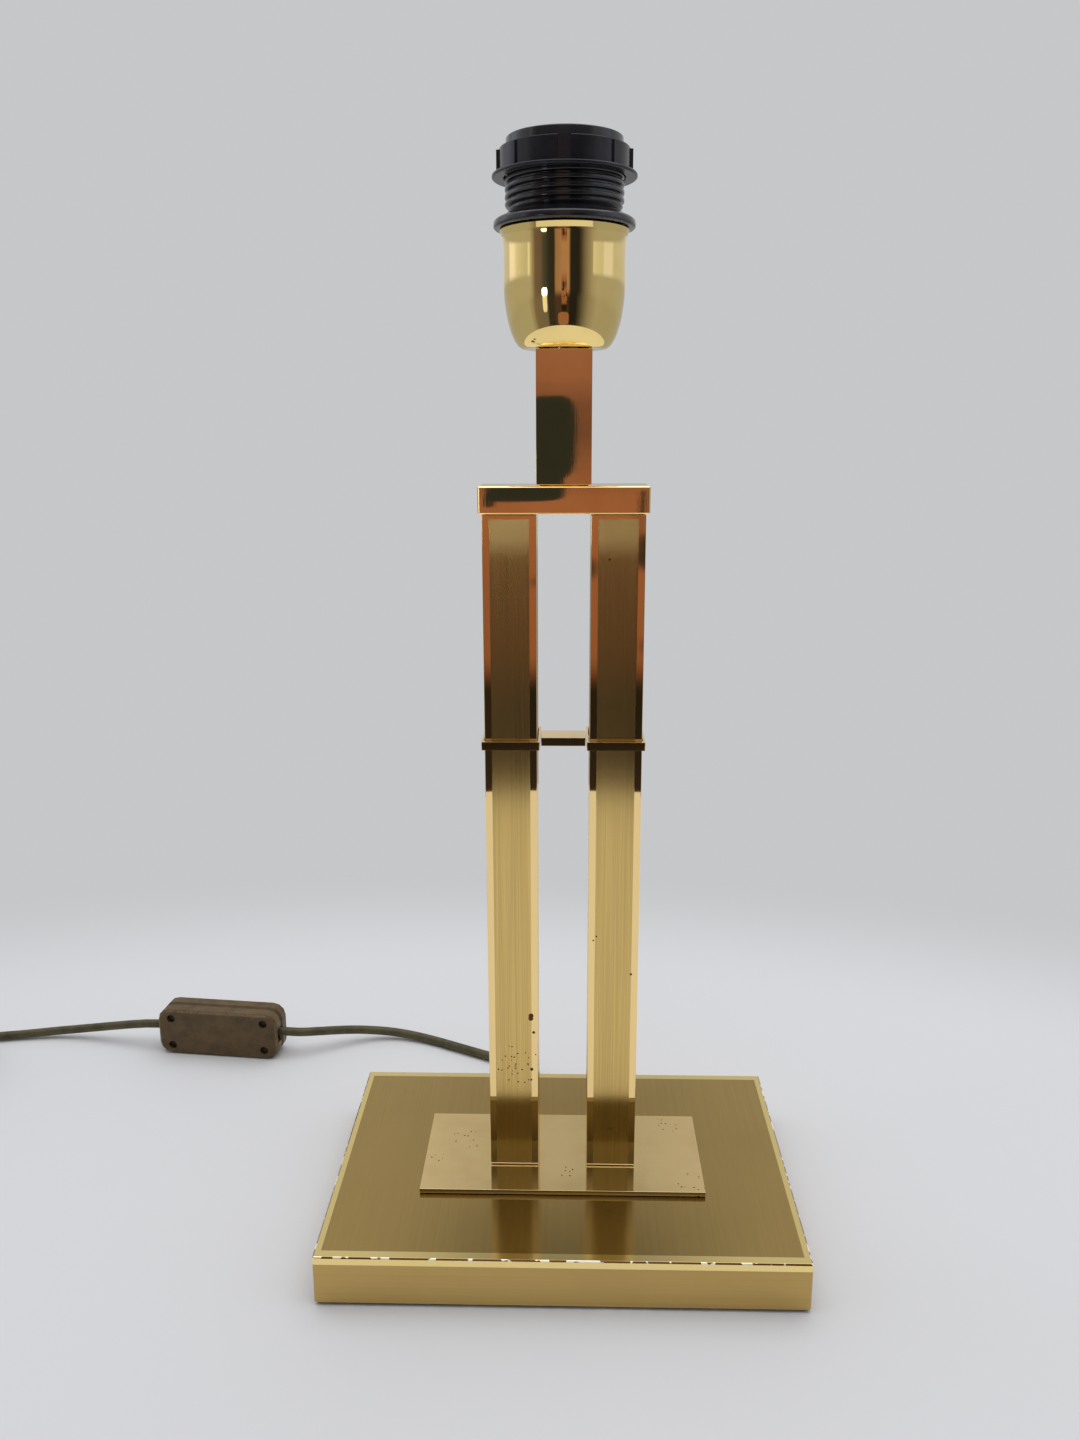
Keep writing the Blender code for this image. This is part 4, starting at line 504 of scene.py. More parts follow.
def felt(name):
    """Green felt with loose fibres and lighter patches."""
    paint = Paint(name, FELT, 0.95)
    fibres = paint.noise(2400.0, detail=4.0, roughness=0.7)
    lighter = paint.blend(paint.noise(160.0), *FELT_FIBRES)
    paint.set("Base Color", paint.blend(paint.step(fibres, 0.3, 0.75), FELT_DEEP, lighter))
    paint.set("Sheen Weight", 0.3)
    paint.bump(fibres, FELT_DEPTH, 0.8)
    return paint.material


def vinyl(name, colour):
    """The lead's soft sheath: slightly glossy and grimy."""
    paint = Paint(name, colour, 0.42)
    paint.set("Specular IOR Level", 0.3)
    grime = paint.noise(120.0, detail=4.0, roughness=0.65)
    paint.set("Base Color", uneven(paint, paint.step(grime, 0.38, 0.72), colour, 1.12, 0.62))
    paint.set("Roughness", paint.between(grime, 0.32, 0.58))
    paint.bump(paint.noise(1500.0, detail=2.0), 0.015 * MM, 0.4)
    return paint.material


def switch_plastic(name):
    """The in-line switch's brown shell: lighter in specks along its edges, and grimy."""
    paint = Paint(name, SWITCH_BROWN, 0.5)
    paint.set("Specular IOR Level", 0.35)
    turned = paint.nodes.new("ShaderNodeMapping")
    turned.vector_type = "TEXTURE"
    paint.links.new(paint.place, turned.inputs["Vector"])
    turned.inputs["Location"].default_value = SWITCH_CENTRE
    turned.inputs["Rotation"].default_value = (0.0, 0.0, SWITCH_TURN)
    to_end, to_face, to_side = (
        paint.maths("SUBTRACT", paint.maths("ABSOLUTE", part), half)
        for part, half in zip(paint.parts(turned.outputs[0]),
                              (SWITCH_LENGTH / 2, SWITCH_HALF_DEPTH, SWITCH_HALF_HEIGHT)))
    # Lighter specks in a band along the shell's edges.
    lighter_edges = paint.times(paint.step(paint.most(to_end, to_side), -1.6 * MM, -0.5 * MM),
                       paint.step(to_face, -1.5 * MM, -0.4 * MM))
    speckle = paint.noise(900.0, detail=4.0, roughness=0.7)
    lighter_edges = paint.times(lighter_edges, paint.step(speckle, 0.36, 0.62))
    grime = paint.noise(130.0, detail=4.0, roughness=0.65)
    tone = uneven(paint, paint.step(grime, 0.35, 0.75), SWITCH_BROWN, 1.2, 0.66)
    paint.set("Base Color", paint.blend(paint.times(lighter_edges, 0.75), tone, SWITCH_EDGE_TONE))
    paint.set("Roughness", paint.between(grime, 0.36, 0.62))
    paint.bump(paint.noise(2600.0), 0.03 * MM, 0.6)
    return paint.material


def dress(names, material, bevel=0.0):
    """Gives CAD nodes their material, soft edges and clean shading."""
    for name in names:
        node = NODES[name]
        for place in node.material_slots:
            place.material = material
        mesh = node.data
        if "custom_normal" in mesh.attributes:
            mesh.attributes.remove(mesh.attributes["custom_normal"])
        mesh.polygons.foreach_set("use_smooth", [True] * len(mesh.polygons))
        weld = node.modifiers.new("weld", "WELD")
        weld.merge_threshold = 0.002 * MM
        if bevel:
            soft = node.modifiers.new("soft_edges", "BEVEL")
            soft.width = bevel
            soft.segments = 3
            soft.limit_method = "ANGLE"
            soft.angle_limit = math.radians(BEVEL_ANGLE)
            weighted = node.modifiers.new("flat_faces", "WEIGHTED_NORMAL")
            weighted.weight = 80
        else:
            split = node.modifiers.new("sharp_edges", "EDGE_SPLIT")
            split.split_angle = math.radians(FACET_ANGLE)


def add_object(name, data):
    """A new object in the scene."""
    made = bpy.data.objects.new(name, data)
    bpy.context.scene.collection.objects.link(made)
    return made


def piece(name, shape, material, slot, body, *nodes):
    """A new piece from a bmesh, riding on a body and standing for CAD nodes."""
    mesh = bpy.data.meshes.new(name)
    bmesh.ops.recalc_face_normals(shape, faces=shape.faces)
    shape.to_mesh(mesh)
    shape.free()
    mesh.polygons.foreach_set("use_smooth", [True] * len(mesh.polygons))
    mesh.set_sharp_from_angle(angle=math.radians(CREASE_ANGLE))
    made = add_object(name, mesh)
    mesh.materials.append(material)
    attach(made, body)
    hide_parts(*nodes)


def closed_surface(rings, segments):
    """A bmesh of rings of points, each joined to the next and the last to the first."""
    shape = bmesh.new()
    rows = [[shape.verts.new(ring(math.tau * step / segments)) for step in range(segments)]
            for ring in rings]
    for row, following in zip(rows, rows[1:] + rows[:1]):
        for step in range(segments):
            after = (step + 1) % segments
            shape.faces.new((row[step], row[after], following[after], following[step]))
    return shape


def plain_ring(radius, height):
    """A level circle round the lamp's axis, as a function of the angle."""
    return lambda angle: Vector((radius * math.cos(angle), radius * math.sin(angle), height))


def arc(centre_radius, centre_height, radius, start, end, steps):
    """Rings along a rounded edge of a turned profile, with degrees from the way outwards."""
    rings = []
    for step in range(steps + 1):
        turn = math.radians(start + (end - start) * step / steps)
        rings.append(plain_ring(centre_radius + radius * math.cos(turn),
                                centre_height + radius * math.sin(turn)))
    return rings


def smooth_route(points, spacing):
    """Points at an even spacing along a smooth curve through the given ones."""
    places = [Vector(point) for point in points]
    padded = [places[0] * 2 - places[1]] + places + [places[-1] * 2 - places[-2]]
    fine = []
    steps = 12
    for index in range(1, len(padded) - 2):
        before, start, end, after = padded[index - 1:index + 3]
        for step in range(steps):
            t = step / steps
            fine.append(0.5 * (2 * start + (end - before) * t
                               + (2 * before - 5 * start + 4 * end - after) * t * t
                               + (3 * start - before - 3 * end + after) * t ** 3))
    fine.append(places[-1])
    lengths = [0.0]
    for index in range(1, len(fine)):
        lengths.append(lengths[-1] + (fine[index] - fine[index - 1]).length)
    count = max(2, round(lengths[-1] / spacing))
    result = []
    index = 0
    for number in range(count + 1):
        target = lengths[-1] * number / count
        while index < len(fine) - 2 and lengths[index + 1] < target:
            index += 1
        run = lengths[index + 1] - lengths[index]
        share = (target - lengths[index]) / run
        result.append(fine[index].lerp(fine[index + 1], min(1.0, share)))
    return result


def refined(points):
    """The same smooth line with more points, for a round look at its bends."""
    length = sum((b - a).length for a, b in zip(points, points[1:]))
    return smooth_route(points, length / (CORD_REFINEMENT * (len(points) - 1)))


def coil_points():
    """The cord's centre line in the coil: in and out again, climbing a layer at each reversal."""
    per_layer = COIL_TURNS / COIL_LAYERS
    outer = COIL_MEAN_RADIUS + COIL_STEP * per_layer / 2
    centre_y = COIL_TOP_Y - outer
    count = round(COIL_TURNS * COIL_POINTS_PER_TURN)
    points = []
    for index in range(count + 1):
        turns = COIL_TURNS * index / count
        layer = min(COIL_LAYERS - 1, int(turns / per_layer))
        within = turns - layer * per_layer
        inwards = within if layer % 2 == 0 else per_layer - within
        radius = outer - COIL_STEP * inwards
        climb = sum(min(1.0, max(0.0, (turns - reversal * per_layer) * 2 + 0.5))
                    for reversal in range(1, COIL_LAYERS))
        angle = math.pi / 2 + math.tau * turns
        points.append(Vector((COIL_CENTRE_X + radius * math.cos(angle),
                              centre_y + radius * math.sin(angle),
                              COIL_BOTTOM_HEIGHT + COIL_STEP * climb)))
    first = points[0] + Vector((CORD_DIAMETER, 0, 0))
    last = points[-1] + Vector((0, -CORD_DIAMETER, 0))
    return [first] + points + [last]


def switch_point(along):
    """A point on the switch's long axis, measured from its centre."""
    return SWITCH_CENTRE + Matrix.Rotation(SWITCH_TURN, 3, "Z") @ Vector((along, 0.0, 0.0))


def cord_piece(name, points, material, *nodes):
    """A round cord along the points, as a curve of one open spline."""
    curve = bpy.data.curves.new(name, "CURVE")
    curve.dimensions = "3D"
    curve.bevel_depth = CORD_DIAMETER / 2
    curve.bevel_resolution = 5
    curve.use_fill_caps = True
    spline = curve.splines.new("POLY")
    spline.points.add(len(points) - 1)
    for place, point in zip(spline.points, points):
        place.co = (*point, 1.0)
    spline.use_smooth = True
    made = add_object(name, curve)
    curve.materials.append(material)
    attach(made, "root")
    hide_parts(*nodes)
    return made


def make_cords():
    """The lead on both sides of the switch, with the coil and the tail to the plug."""
    material = vinyl("cord_vinyl", CORD_BROWN)
    right_end = switch_point(SWITCH_LENGTH / 2)
    left_end = switch_point(-SWITCH_LENGTH / 2)
    straight = CORD_EXIT + Vector((0, CORD_DIAMETER, 0))
    lamp_route = [straight] + [vector(*point) for point in LAMP_SIDE_ROUTE] + [right_end]
    lamp_points = [CORD_EXIT] + smooth_route(lamp_route, CORD_POINT_SPACING)
    lamp_points.append(switch_point(SWITCH_LENGTH / 2 - SWITCH_CORD_ENTRY))
    lamp_cord = cord_piece("lamp_lead", refined(lamp_points), material, "cord_lamp_side")

    coil = coil_points()
    coil_start = coil[0] + Vector((GAP, 0, 0))
    before_coil = coil_start + Vector((CORD_DIAMETER, 0, 0))
    plug_route = [left_end] + [vector(*point) for point in PLUG_SIDE_ROUTE] + [before_coil]
    plug_points = smooth_route(plug_route, CORD_POINT_SPACING)
    plug_points.insert(0, switch_point(SWITCH_CORD_ENTRY - SWITCH_LENGTH / 2))
    tail_lead = coil[-1] + Vector((0, -GAP - CORD_DIAMETER, 0))
    before_end = PLUG_RELIEF_END + Vector((0, CORD_DIAMETER, 0))
    middle = [tail_lead.lerp(before_end, share) for share in TAIL_SHARES]
    tail_points = smooth_route([tail_lead] + middle + [before_end], CORD_POINT_SPACING)
    line = plug_points + coil + tail_points + [PLUG_RELIEF_END]
    plug_cord = cord_piece("plug_lead", line, material,
                           "cord_plug_side", "cord_coil", "cord_tail")
    dress(["inner_cord"], material)


def make_cup(material):
    """The holder's brass cup: a rounded foot, a flare, a short cone and a rolled lip."""
    low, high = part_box("holder_cup")
    foot, top = low.z, high.z
    radius, lip, flat, hole, wall = 20.55 * MM, 21.7 * MM, 13.5 * MM, 5.6 * MM, 0.8 * MM
    round_height, flare_start, edge = 22.5 * MM, 30.5 * MM, 0.3 * MM
    cone_foot, cone_start = top - 2.2 * MM, radius + 0.3 * MM
    outer_steps, inner_steps, flare_steps, lip_steps = 24, 12, 12, 6
    outline = [(hole, foot), (flat - 1.5 * MM, foot)]
    for step in range(outer_steps + 1):
        turn = math.pi / 2 * step / outer_steps
        outline.append((flat + (radius - flat) * math.sin(turn),
                        foot + round_height * (1 - math.cos(turn))))
    for step in range(flare_steps + 1):
        share = step / flare_steps
        height = foot + flare_start + (cone_foot - foot - flare_start) * share
        outline.append((radius + (cone_start - radius) * share ** 2, height))
    for step in range(1, lip_steps + 1):
        share = step / lip_steps
        outline.append((cone_start + (lip - cone_start) * share,
                        cone_foot + (top - edge - cone_foot) * share))
    for step in range(1, lip_steps + 1):
        turn = math.pi * step / lip_steps
        outline.append((lip - edge + edge * math.cos(turn), top - edge + edge * math.sin(turn)))
    outline.append((radius - wall, foot + flare_start))
    outline.append((radius - wall, foot + round_height))
    for step in range(inner_steps - 1, -1, -1):
        turn = math.pi / 2 * step / inner_steps
        outline.append((flat - wall + (radius - flat) * math.sin(turn),
                        foot + wall + (round_height - wall) * (1 - math.cos(turn))))
    outline.append((hole, foot + wall))
    shape = closed_surface([plain_ring(r, z) for r, z in outline], 128)
    piece("brass_cup", shape, material, "polished_brass", "root", "holder_cup")


def make_sleeve(material):
    """The holder's threaded sleeve: a spigot, a skirt, a helical thread and a smooth rim."""
    low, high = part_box("holder_sleeve")
    foot, top = low.z, high.z
    skirt_low, skirt_high = foot + 10.5 * MM, foot + 15.4 * MM
    thread_top = skirt_high + 19.6 * MM
    crest, depth, pitch, crest_width, flank_power = 19.85 * MM, 1.5 * MM, 2.5 * MM, 0.68, 4.0
    bore, spigot, skirt, rim = 16.8 * MM, 18.9 * MM, 23.75 * MM, 19.4 * MM
    chamfer, lower_round, upper_round = 0.3 * MM, 0.9 * MM, 1.6 * MM
    rim_round, bore_round, rows = 0.5 * MM, 0.4 * MM, 270
    rings = [plain_ring(bore + chamfer, foot), plain_ring(spigot - chamfer, foot),
             plain_ring(spigot, foot + chamfer), plain_ring(spigot, skirt_low),
             plain_ring(skirt - 2.0 * MM, skirt_low)]
    rings += arc(skirt - lower_round, skirt_low + lower_round, lower_round, -90, 0, 6)
    rings += arc(skirt - upper_round, skirt_low + 1.5 * MM, upper_round, 0, 60, 5)[1:]
    rings += [plain_ring(crest + 0.9 * MM, skirt_high - 0.9 * MM),
              plain_ring(crest - depth + 0.2 * MM, skirt_high)]

    def thread_ring(height):
        """A ring of the thread, whose crest climbs as the angle grows."""
        def ring(angle):
            phase = ((height - skirt_high) / pitch - angle / math.tau) % 1.0
            off_crest = min(1.0, abs(2.0 * phase - 1.0) / crest_width)
            wave = (1.0 - off_crest ** flank_power) ** (1.0 / flank_power)
            run_out = min(1.0, (height - skirt_high) / pitch, (thread_top - height) / pitch)
            radius = crest - depth * (1.0 - wave * max(0.0, run_out))
            return Vector((radius * math.cos(angle), radius * math.sin(angle), height))
        return ring

    for row in range(1, rows):
        rings.append(thread_ring(skirt_high + (thread_top - skirt_high) * row / rows))
    rings += [plain_ring(rim, thread_top), plain_ring(rim, top - rim_round)]
    rings += arc(rim - rim_round, top - rim_round, rim_round, 0, 90, 4)[1:]
    rings += arc(bore + bore_round, top - bore_round, bore_round, 90, 180, 3)
    rings += [plain_ring(bore, top - 8.0 * MM), plain_ring(bore, foot + chamfer)]
    piece("threaded_sleeve", closed_surface(rings, 112), material, "black_plastic", "root",
          "holder_sleeve")


def make_shade_ring(material):
    """The ring that clamps a shade: a flange, four finger tabs and four grooves."""
    low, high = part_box("shade_ring")
    foot, top = low.z, high.z
    flange, body, tab, bore = 24.1 * MM, 21.55 * MM, 22.55 * MM, 20.15 * MM
    flange_top = foot + 1.2 * MM
    chamfer, flange_round, bore_round = 0.3 * MM, 0.45 * MM, 0.4 * MM
    tab_low, tab_top = flange_top + chamfer, top - chamfer
    tab_half, groove_half, groove_depth = 1.9 * MM, 0.8 * MM, 0.7 * MM

    def body_ring(height, inset=0.0, tabs=False):
        """A ring of the body, with its grooves and, where asked, the tabs."""
        def off(angle, turn):
            return abs((angle - turn + math.pi) % math.tau - math.pi) * body

        def ring(angle):
            radius = body - inset
            for quarter in range(4):
                turn = math.pi / 2 * quarter
                if off(angle, turn) < tab_half and tabs:
                    radius = tab - inset
                if off(angle, turn + math.pi / 4) < groove_half:
                    radius = body - groove_depth
            return Vector((radius * math.cos(angle), radius * math.sin(angle), height))
        return ring

    rings = [plain_ring(bore, foot + chamfer), plain_ring(bore + chamfer, foot),
             plain_ring(flange - 0.5 * MM, foot)]
    rings += arc(flange - flange_round, foot + flange_round, flange_round, -90, 0, 3)
    rings += arc(flange - flange_round, flange_top - flange_round, flange_round, 0, 90, 3)
    rings += [plain_ring(tab + 0.25 * MM, flange_top),
              body_ring(flange_top), body_ring(tab_low), body_ring(tab_low, tabs=True),
              body_ring(tab_top, tabs=True), body_ring(tab_top),
              body_ring(top - 0.1 * MM, inset=0.1 * MM), body_ring(top, inset=0.35 * MM),
              plain_ring(bore + bore_round, top), plain_ring(bore, top - bore_round)]
    piece("shade_clamp_ring", closed_surface(rings, 288), material, "black_plastic", "shade_ring",
          "shade_ring")


def make_relief(material):
    """The bush where the lead leaves the base: a flange and a ribbed, tapered tail."""
    low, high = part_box("cord_grommet")
    centre = (low + high) / 2
    bore, flange, tail_radius, taper, ribs = 2.35, 4.4, 3.8, 0.9, 7
    flange_back = low.y + flange * MM
    profile = [(bore, 0.0), (4.2, 0.0), (flange, 0.3), (flange, 1.1), (3.3, 1.3), (3.3, 3.0),
               (flange, 3.0)]
    outline = [(r * MM, low.y + y * MM) for r, y in profile]
    outline += [(flange * MM, flange_back - 0.3 * MM), (4.1 * MM, flange_back)]
    tail = high.y - flange_back
    for rib in range(ribs):
        for share, proud in ((0.05, -0.45), (0.25, -0.45), (0.35, 0.0), (0.9, 0.0)):
            along = (rib + share) / ribs
            outline.append(((tail_radius - taper * along + proud) * MM, flange_back + tail * along))
    outline += [(2.9 * MM, high.y - 0.2 * MM), (2.7 * MM, high.y), (bore * MM, high.y)]

    def ring_at(radius, y):
        """An upright circle round the lead's axis."""
        return lambda angle: Vector((centre.x + radius * math.cos(angle), y,
                                     centre.z + radius * math.sin(angle)))

    shape = closed_surface([ring_at(r, y) for r, y in outline], 48)
    piece("cord_bush", shape, material, "brown_plastic", "root", "cord_grommet")


def make_camera():
    """The camera that took the photograph."""
    forward = Vector((math.sin(CAMERA_YAW) * math.cos(CAMERA_PITCH),
                      math.cos(CAMERA_YAW) * math.cos(CAMERA_PITCH), -math.sin(CAMERA_PITCH)))
    level_right = Vector((math.cos(CAMERA_YAW), -math.sin(CAMERA_YAW), 0.0))
    level_up = level_right.cross(forward)
    right = level_right * math.cos(CAMERA_ROLL) + level_up * math.sin(CAMERA_ROLL)
    up = -level_right * math.sin(CAMERA_ROLL) + level_up * math.cos(CAMERA_ROLL)
    data = bpy.data.cameras.new("camera")
    data.sensor_fit = "HORIZONTAL"
    data.sensor_width = SENSOR_WIDTH
    data.lens = FOCAL_PIXELS / IMAGE_WIDTH * SENSOR_WIDTH
    data.clip_start, data.clip_end = CLIP_NEAR, CLIP_FAR
    camera = add_object("camera", data)
    camera.matrix_world = Matrix((
        (right.x, up.x, -forward.x, CAMERA_PLACE.x),
        (right.y, up.y, -forward.y, CAMERA_PLACE.y),
        (right.z, up.z, -forward.z, CAMERA_PLACE.z),
        (0.0, 0.0, 0.0, 1.0)))
    bpy.context.scene.camera = camera


def make_floor():
    """A pale round floor that turns into the backdrop's tone behind the lamp and at its rim. What
    is glossy mirrors it as white paper."""
    radius, height, sides = 0.58, -0.2 * MM, 96
    shape = bmesh.new()
    centre = shape.verts.new((0.0, 0.0, height))
    corners = [math.tau * corner / sides for corner in range(sides)]
    rim = [shape.verts.new((radius * math.cos(turn), radius * math.sin(turn), height))
           for turn in corners]
    for index in range(sides):
        shape.faces.new((centre, rim[index], rim[(index + 1) % sides]))
    mesh = bpy.data.meshes.new("floor")
    shape.to_mesh(mesh)
    shape.free()
    floor = add_object("floor", mesh)
    paint = Paint("floor_paint", FLOOR, 0.9)
    paint.set("Specular IOR Level", 0.2)
    path = paint.nodes.new("ShaderNodeLightPath")
    paint.set("Base Color", paint.blend(path.outputs["Is Glossy Ray"], FLOOR, WHITE_PAPER))
    wide = paint.vector("LENGTH", paint.scaled((0.55, 1.0, 1.0), shift=(0.03, 0.0, 0.0)))
    fade = paint.most(paint.step(wide, 0.20, 0.36),
                      paint.step(paint.vector("LENGTH", paint.place), 0.44, 0.57))
    glow = paint.nodes.new("ShaderNodeEmission")
    glow.inputs["Color"].default_value = (*BACKDROP, 1.0)
    mixed = paint.nodes.new("ShaderNodeMixShader")
    for socket, source in zip(mixed.inputs, (paint.times(fade, path.outputs["Is Camera Ray"]),
                                             paint.shader.outputs[0], glow.outputs[0])):
        paint.links.new(source, socket)
    paint.links.new(mixed.outputs[0], paint.nodes["Material Output"].inputs["Surface"])
    mesh.materials.append(paint.material)


# The surroundings that the brass mirrors, as (degrees, colour) stops. Turns are counted from the
# way towards the viewer, to the viewer's right, and rises from the level.
ROOM = (
    (-62.0, (0.40, 0.37, 0.35)), (-56.0, (0.20, 0.145, 0.14)), (-44.0, (0.16, 0.12, 0.13)),
    (-40.0, (0.085, 0.085, 0.09)), (-28.0, (0.036, 0.037, 0.04)), (-18.5, (0.032, 0.03, 0.03)),
    (-16.0, (0.36, 0.22, 0.165)), (-6.0, (0.42, 0.255, 0.195)), (1.5, (0.48, 0.30, 0.235)),
    (8.5, (0.44, 0.265, 0.20)), (11.5, (0.025, 0.025, 0.027)), (27.0, (0.022, 0.022, 0.024)),
    (32.0, (0.075, 0.06, 0.06)), (40.0, (0.22, 0.20, 0.19)), (54.0, (0.42, 0.40, 0.38)))
LEFT_WALL = ((-72.5, grey(0.62)), (-71.0, grey(0.92)), (-68.0, grey(0.92)), (-66.5, grey(0.60)))
RIGHT_WALL = ((56.0, grey(0.80)), (60.0, grey(0.74)))
BRIGHT_PANE, DIM_PANE = (1.05, 1.06, 1.3), (0.85, 0.86, 1.05)
LEFT_WINDOW = ((-127.0, grey(0.66)), (-122.0, BRIGHT_PANE), (-109.0, BRIGHT_PANE),
               (-100.0, grey(0.80)), (-86.0, grey(0.68)))
RIGHT_WINDOW = ((76.0, grey(0.68)), (80.0, DIM_PANE), (99.0, DIM_PANE), (106.0, grey(0.64)))
UNDER_LEFT_WALL = ((-67.0, grey(0.48)),)
UNDER_RIGHT_WALL = ((65.0, grey(0.46)),)
DIM_ROOM = (
    (-72.0, grey(0.44)), (-63.0, (0.34, 0.31, 0.29)), (-58.0, (0.22, 0.18, 0.17)),
    (-34.0, (0.19, 0.17, 0.17)), (-30.0, (0.04, 0.04, 0.042)), (-20.0, (0.045, 0.034, 0.034)),
    (-15.0, (0.08, 0.052, 0.046)), (6.0, (0.07, 0.04, 0.036)), (11.0, (0.022, 0.02, 0.02)),
    (23.0, (0.022, 0.02, 0.02)), (31.0, (0.085, 0.08, 0.075)), (40.0, (0.20, 0.19, 0.18)),
    (50.0, (0.33, 0.31, 0.30)), (66.0, grey(0.43)))
COPPER_RISE = (
    (-14.0, (0.30, 0.12, 0.075)), (-6.0, (0.36, 0.15, 0.09)), (-3.2, (0.41, 0.178, 0.113)),
    (-2.0, (0.33, 0.15, 0.10)), (0.0, (0.20, 0.095, 0.08)), (1.5, (0.22, 0.105, 0.08)),
    (2.4, (0.34, 0.155, 0.108)), (4.0, (0.37, 0.17, 0.12)), (8.0, (0.48, 0.29, 0.22)))
HIGH_FRONT_RISE = ((24.0, grey(0.31)), (33.2, grey(0.31)), (33.9, grey(0.05)), (36.1, grey(0.05)),
                   (36.9, (0.56, 0.62, 0.86)))

# Spans of turn or rise, in degrees, over which one part of the surroundings gives way to the next
SILL_RISE = (5.0, 7.0)
WALL_FOOT_RISE = (-7.5, -1.5)
COPPER_TURN = (4.9, 5.3)
SPOT_RISE = (-4.2, -3.8)
COPPER_FOOT_RISE = (-12.5, -10.5)
COPPER_END_RISE = (-24.0, -14.0)
UPPER_ROOM_TURN, UPPER_ROOM_RISE = (40.0, 70.0), (12.0, 18.0)
HIGH_FRONT_TURN, HIGH_FRONT_START = (9.0, 15.0), (20.0, 24.0)
DUSK_TURN, DUSK_RISE, DUSK_FADE = (168.0, 178.0), (28.0, 33.0), (35.0, 39.0)
CEILING_RISE = (46.0, 60.0)

# The noise at which the spots end, and how much the dusk behind darkens, low down and higher up
SPOT_CUT = (0.40, 0.44)
DUSK_STRENGTH = (0.24, 0.58)

# Single shapes there: the middle and half the size in degrees of turn and rise, and the softness
DARK_SHAPES = (((-1.1, -0.15), (1.48, 2.05), 0.05), ((-2.25, -2.4), (2.0, 0.72), 0.05),
               ((-4.0, -2.9), (0.27, 0.6), 0.1), ((3.62, -4.0), (0.14, 1.6), 0.15))
COPPER_PATCH = ((-1.5, -24.0), (11.0, 6.5), 0.25)
LIT_WALL = ((-37.5, -8.5), (4.5, 7.5), 0.3)
ROOM_LAMP = ((-37.5, -3.0), (5.0, 2.2), 0.2)

# The tones of these parts and shapes
SPOT_TONE = (0.025, 0.026, 0.028)
DARK_SHAPE_TONE = (0.032, 0.038, 0.038)
COPPER_FOOT_TONE = (0.022, 0.018, 0.015)
COPPER_PATCH_TONE = (0.36, 0.17, 0.11)
LIT_TONE = grey(1.0)
ROOM_LAMP_TONE = grey(7.0)
UPPER_ROOM_TONE = (0.24, 0.235, 0.24)
DUSK_TONE = grey(0.02)
CEILING_TONE = grey(1.05)


def copper_front(tent, turn, rise, low_walls):
    """What stands close before the lamp: warm, with dark shapes and spots and a darker foot."""
    patches = tent.noise((9.0, 9.0, 16.0), detail=1.5, roughness=0.5, shift=(0.3, 1.7, 0.55))
    spots = tent.times(tent.without(tent.step(patches, *SPOT_CUT)),
                       tent.without(tent.step(rise, *SPOT_RISE)))
    copper = tent.blend(spots, tent.bands(rise, COPPER_RISE), SPOT_TONE)
    dark = tent.most(*(tent.box(turn, rise, *shape) for shape in DARK_SHAPES))
    copper = tent.blend(dark, copper, DARK_SHAPE_TONE)
    copper = tent.blend(tent.step(rise, *COPPER_FOOT_RISE), COPPER_FOOT_TONE, copper)
    return tent.blend(tent.step(rise, *COPPER_END_RISE), low_walls, copper)


def make_world():
    """A pale tent round the lamp. Towards the viewer it is open, and a dim room with warm and black
    shapes shows there. What the camera sees of it is plain and pale."""
    world = bpy.data.worlds.new("tent")
    world.use_nodes = True
    bpy.context.scene.world = world
    tent = Graph(world.node_tree, "Generated")
    x, y, z = tent.parts(tent.place)
    level = tent.maths("SQRT", tent.maths("ADD", tent.times(x, x), tent.times(y, y)))
    turn = tent.times(tent.maths("ARCTAN2", x, tent.times(y, -1.0)), math.degrees(1.0))
    rise = tent.times(tent.maths("ARCTAN2", z, level), math.degrees(1.0))
    off_front = tent.maths("ABSOLUTE", turn)

    under_sill = tent.bands(turn, UNDER_LEFT_WALL + ROOM + UNDER_RIGHT_WALL)
    over_sill = tent.bands(turn, LEFT_WINDOW + LEFT_WALL + ROOM + RIGHT_WALL + RIGHT_WINDOW)
    walls = tent.blend(tent.step(rise, *SILL_RISE), under_sill, over_sill)
    low_walls = tent.bands(turn, DIM_ROOM)
    walls = tent.blend(tent.step(rise, *WALL_FOOT_RISE), low_walls, walls)
    walls = tent.blend(tent.without(tent.step(off_front, *COPPER_TURN)), walls,
                       copper_front(tent, turn, rise, low_walls))
    for shape, tone in ((COPPER_PATCH, COPPER_PATCH_TONE), (LIT_WALL, LIT_TONE),
                        (ROOM_LAMP, ROOM_LAMP_TONE)):
        walls = tent.blend(tent.box(turn, rise, *shape), walls, tone)

    upper_room = tent.times(tent.without(tent.step(off_front, *UPPER_ROOM_TURN)),
                            tent.step(rise, *UPPER_ROOM_RISE))
    walls = tent.blend(upper_room, walls, UPPER_ROOM_TONE)
    high_front = tent.times(tent.without(tent.step(off_front, *HIGH_FRONT_TURN)),
                            tent.step(rise, *HIGH_FRONT_START))
    walls = tent.blend(high_front, walls, tent.bands(rise, HIGH_FRONT_RISE))
    dusk = tent.times(tent.step(off_front, *DUSK_TURN), tent.step(rise, *DUSK_RISE))
    dusk = tent.times(dusk, tent.between(tent.step(rise, *DUSK_FADE), *DUSK_STRENGTH))
    walls = tent.blend(dusk, walls, DUSK_TONE)
    walls = tent.blend(tent.step(rise, *CEILING_RISE), walls, CEILING_TONE)

    path = tent.nodes.new("ShaderNodeLightPath")
    background = tent.nodes["Background"]
    seen = tent.blend(path.outputs["Is Camera Ray"], walls, BACKDROP)
    tent.feed(background.inputs["Color"], seen)
    background.inputs["Strength"].default_value = 1.0


